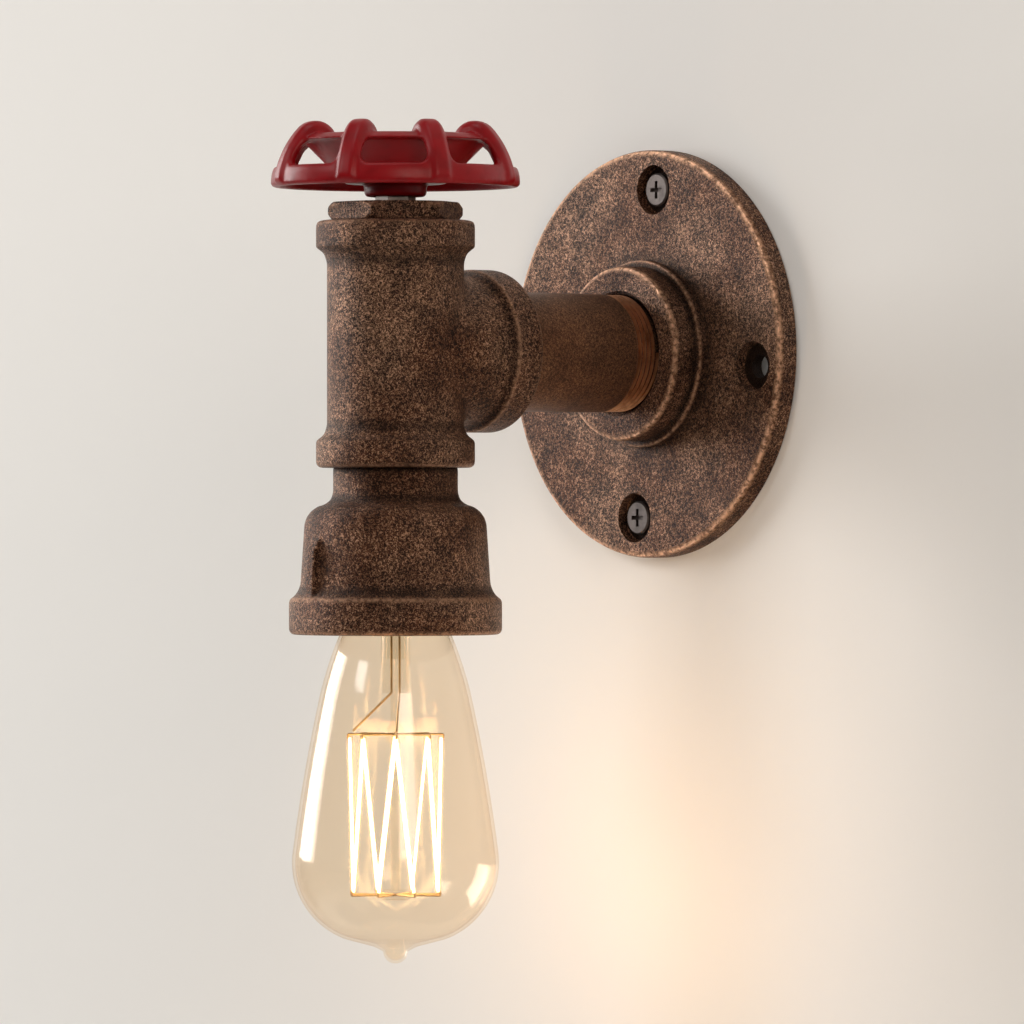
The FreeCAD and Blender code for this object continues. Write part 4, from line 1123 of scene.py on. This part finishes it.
@dataclass
class Lamp:
    """Lit filament lamp."""

    core_swell: float = 0.14
    halo_swell: float = 0.85

    def swollen(self, name: str, swell: float) -> bpy.types.Object:
        """Copies the filament with thicker strands.

        Args:
            name: name of the copy.
            swell: how far its skin moves out, in millimetres.

        Returns:
            The copy.
        """
        strands = Bench.copied(name, "filament")
        Bench.finish_with(strands, "DISPLACE", strength=swell * MM, mid_level=0.0)
        Bench.done(strands, Bench.SOFT)
        return strands

    def build(self) -> None:
        """Dresses the lamp, its strands swollen by their glare."""
        dress(LampGlass("lamp_glass").make(), "bulb_glass")
        stem = LampGlass("stem_glass", tint=(0.99, 0.97, 0.93), rim_tint=(0.80, 0.62, 0.40))
        dress(stem.make(), "bulb_stem")
        hot = self.swollen("glowing_filament", self.core_swell)
        # A thicker, faintly see-through copy of the strands glows around them: a painted glare.
        haze = self.swollen("filament_halo", self.halo_swell)
        Bench.settle(hot, Body.LAMP, Glow("hot_filament").make(), "hot_filament", ("filament",))
        glare_glow = Glow("filament_glare_glow", colour=(1.0, 0.80, 0.50), strength=1.2, alpha=0.16)
        Bench.settle(haze, Body.LAMP, glare_glow.make(), "hot_filament", ("filament",))
        wire = Metal("support_wire", bright=(0.78, 0.56, 0.30), dull=(0.50, 0.33, 0.16), roughness=0.48)
        dress(wire.make(), "upper_support", "lower_support", "lead_in_wires")
        brass = Metal("lamp_brass", bright=(0.66, 0.48, 0.22), dull=(0.44, 0.30, 0.13), roughness=0.30)
        dress(brass.make(), "bulb_cap", "cap_contact")
        black = Moulded("cap_glass", light=(0.012, 0.010, 0.014), shade=(0.03, 0.025, 0.03), roughness=0.18)
        dress(black.make(), "cap_insulator")


@dataclass
class Insides:
    """Lampholder, dimmer, terminals and wiring."""

    leads: tuple[tuple[str, str, Colour, Colour], ...] = (
        ("live_lead", "lead_brown", (0.16, 0.07, 0.03), (0.11, 0.045, 0.02)),
        ("switched_lead", "lead_black", (0.02, 0.02, 0.022), (0.04, 0.04, 0.04)),
        ("neutral_lead", "lead_blue", (0.03, 0.09, 0.35), (0.02, 0.06, 0.24)),
        ("earth_lead", "lead_green", (0.05, 0.26, 0.06), (0.04, 0.19, 0.05)),
    )
    lead_roughness: float = 0.45

    def build(self) -> None:
        """Dresses the inner pieces."""
        porcelain = Moulded(
            "porcelain", light=(0.80, 0.77, 0.70), shade=(0.70, 0.66, 0.58), roughness=0.22, coat=0.5
        )
        dress(porcelain.make(), "lampholder_body", "lampholder_cap")
        brass = Metal("brass", bright=(0.70, 0.52, 0.25), dull=(0.48, 0.34, 0.16), roughness=0.28)
        dress(
            brass.make(),
            "lampholder_shell",
            "centre_contact",
            "live_terminal",
            "neutral_terminal",
            "terminal_screws",
            "pole_sleeves",
            "clamp_screws",
            "dimmer_terminals",
            "dimmer_collar",
            "mounting_tube",
            "earth_ring",
        )
        black = Moulded(
            "dimmer_black", light=(0.020, 0.020, 0.022), shade=(0.045, 0.043, 0.045), roughness=0.40
        )
        dress(black.make(), "dimmer_housing", "dimmer_base", "dimmer_rotor")
        board = Moulded("board_brown", light=(0.20, 0.11, 0.05), shade=(0.13, 0.07, 0.03), roughness=0.5)
        dress(board.make(), "dimmer_board")
        cream = Moulded("block_cream", light=(0.66, 0.60, 0.46), shade=(0.56, 0.50, 0.38), roughness=0.45)
        dress(cream.make(), "terminal_block")
        for node, name, light, shade in self.leads:
            dress(Moulded(name, light, shade, self.lead_roughness).make(), node)


# ---- studio -----------------------------------------------------------------------------------------


@dataclass(frozen=True)
class SoftLight:
    """A square lamp: its place and side in metres, its watts and its light's colour."""

    name: str
    place: Point
    size: float
    watts: float
    colour: Colour


@dataclass
class Studio:
    """Camera, lamps, wall and floor.

    The photograph's numbers are in pixels, its scale in pixels for a millimetre on the upright axis, and the
    camera's distance in millimetres.
    """

    azimuth: float = 50.0
    distance: float = 2613.0
    scale: float = 3.22
    axis_px: float = 395.5
    arm_px: float = 350.0
    horizon_px: float = 512.0
    size_px: float = 1024.0
    sensor_mm: float = 36.0
    clip_from: float = 0.05
    clip_to: float = 50.0
    middle: Point = (0.0, -0.06, -0.05)
    soft_lights: tuple[SoftLight, ...] = (
        SoftLight("key_light", (-2.4, -0.9, 0.5), 1.3, 52.0, (1.0, 0.99, 0.975)),
        SoftLight("front_light", (-0.6, -2.6, 1.5), 0.9, 19.0, (1.0, 0.985, 0.96)),
        SoftLight("fill_light", (2.4, -1.2, 0.7), 1.0, 20.0, (1.0, 0.86, 0.74)),
        SoftLight("top_light", (0.2, -0.9, 2.4), 1.0, 10.0, (1.0, 1.0, 1.0)),
        SoftLight("back_light", (0.4, 2.2, 0.7), 1.6, 12.0, (1.0, 0.99, 0.97)),
    )
    filament_light: SoftLight = SoftLight(
        "filament_light", (0.0, LAMP_Y + 0.014, -0.165), 0.016, 0.17, (1.0, 0.66, 0.41)
    )
    wall_side: float = 5.0
    wall_gap: float = 0.0004
    wall_colours: tuple[Colour, Colour] = ((0.87, 0.855, 0.825), (0.88, 0.863, 0.832))
    floor_side: float = 14.0
    floor_place: Point = (0.0, -1.0, -1.6)
    floor_colours: tuple[Colour, Colour] = ((0.78, 0.77, 0.75), (0.80, 0.785, 0.765))
    cloud_scale: float = 3.0
    cloud_span: Span = (0.3, 0.7)
    room_colour: Colour = (0.93, 0.915, 0.895)
    room_light: float = 0.13
    room_seen: float = 0.80

    def camera(self) -> None:
        """Places the camera as the photograph was taken."""
        a = math.radians(self.azimuth)
        back = Vector((math.sin(a), -math.cos(a), 0.0))
        right = Vector((math.cos(a), math.sin(a), 0.0))
        half = self.size_px / 2
        side = (half - self.axis_px) / self.scale
        place = Vector((0.0, LAMP_Y / MM, 0.0)) + right * side + back * self.distance
        place.z = -(self.horizon_px - self.arm_px) / self.scale
        Bench.clear()
        bpy.ops.object.camera_add(location=tuple(place * MM))
        cam = bpy.context.object
        cam.name = "camera"
        pitch = math.atan((self.horizon_px - half) / (self.scale * self.distance))
        cam.rotation_euler = (math.pi / 2 + pitch, 0.0, a)
        cam.data.sensor_width = self.sensor_mm
        cam.data.lens = self.sensor_mm * self.scale * self.distance / self.size_px
        cam.data.clip_start = self.clip_from
        cam.data.clip_end = self.clip_to
        bpy.context.scene.camera = cam

    def lamp(self, light: SoftLight, kind: str = "AREA") -> bpy.types.Object:
        """Adds one lamp.

        Args:
            light: what the lamp is like.
            kind: AREA, or POINT for a ball whose radius is the light's size.

        Returns:
            The lamp.
        """
        Bench.clear()
        bpy.ops.object.light_add(type=kind, location=light.place)
        made = bpy.context.object
        made.name = light.name
        made.data.energy = light.watts
        made.data.color = light.colour
        if kind == "POINT":
            made.data.shadow_soft_size = light.size
        else:
            made.data.size = light.size
            aim = Vector(self.middle) - Vector(light.place)
            made.rotation_euler = aim.to_track_quat("-Z", "Y").to_euler()
        return made

    def lamps(self) -> None:
        """Lights the object softly, and lets the filament warm what is round it."""
        for light in self.soft_lights:
            self.lamp(light)
        warm = self.lamp(self.filament_light, "POINT")
        warm.visible_camera = False
        warm.visible_glossy = False
        warm.visible_transmission = False

    def backdrop(self, name: str, colour: Colour, cloud: Colour) -> bpy.types.Material:
        """Paint of a plain surface that shows from its front only.

        Args:
            name: name of the material.
            colour: its colour.
            cloud: the colour of its faint clouds.

        Returns:
            The material.
        """
        p = Paint(name)
        tone = p.mix(p.noise(self.cloud_scale).rise(*self.cloud_span), colour, cloud)
        matt = p.node("BsdfDiffuse", Color=tone)
        through = p.node("BsdfTransparent", Color=(1.0, 1.0, 1.0))
        return p.blended(p.value("NewGeometry", "Backfacing"), matt, through)

    def plane(self, name: str, paint: bpy.types.Material, **placed: Any) -> bpy.types.Object:
        """Adds one flat surface.

        Args:
            name: name of the surface.
            paint: its material.
            placed: its size, location and rotation.

        Returns:
            The surface.
        """
        Bench.clear()
        bpy.ops.mesh.primitive_plane_add(**placed)
        made = bpy.context.object
        made.name = name
        made.data.materials.append(paint)
        return made

    def stage(self) -> None:
        """Sets the wall behind and the floor far below, both seen from their front only."""
        paint = self.backdrop("wall_paint", *self.wall_colours)
        upright = (math.pi / 2, 0.0, 0.0)
        place = (0.0, self.wall_gap, 0.0)
        wall = self.plane("stage_wall", paint, size=self.wall_side, location=place, rotation=upright)
        wall.visible_shadow = False
        paint = self.backdrop("floor_paint", *self.floor_colours)
        floor = self.plane("stage_floor", paint, size=self.floor_side, location=self.floor_place)

    def world(self) -> None:
        """Fills the room with even pale light, and shows it paler than it lights."""
        world = bpy.data.worlds.new("room")
        bpy.context.scene.world = world
        world.use_nodes = True
        tree = Tree(world.node_tree)
        path = tree.node("LightPath")
        straight, clear = (Sock(tree, path.outputs[ray]) for ray in ("Is Camera Ray", "Is Transmission Ray"))
        strength = straight.most(clear) * self.room_seen + self.room_light
        back = tree.node("Background", Color=self.room_colour, Strength=strength)
        tree.feed(tree.node("OutputWorld"), "Surface", back.outputs[0])

    def build(self) -> None:
        """Sets up the studio."""
        self.camera()
        self.lamps()
        self.stage()
        self.world()
        bpy.context.scene.view_settings.view_transform = "Standard"


def main() -> None:
    """Builds every sub-assembly in order."""
    logging.basicConfig(level=logging.INFO, format="%(name)s: %(message)s")
    for part in (Studio(), WallFlange(), PipeArm(), Tee(), Cup(), Wheel(), Lamp(), Insides()):
        part.build()
        log.info("%s done", type(part).__name__)


if __name__ == "__main__":
    main()
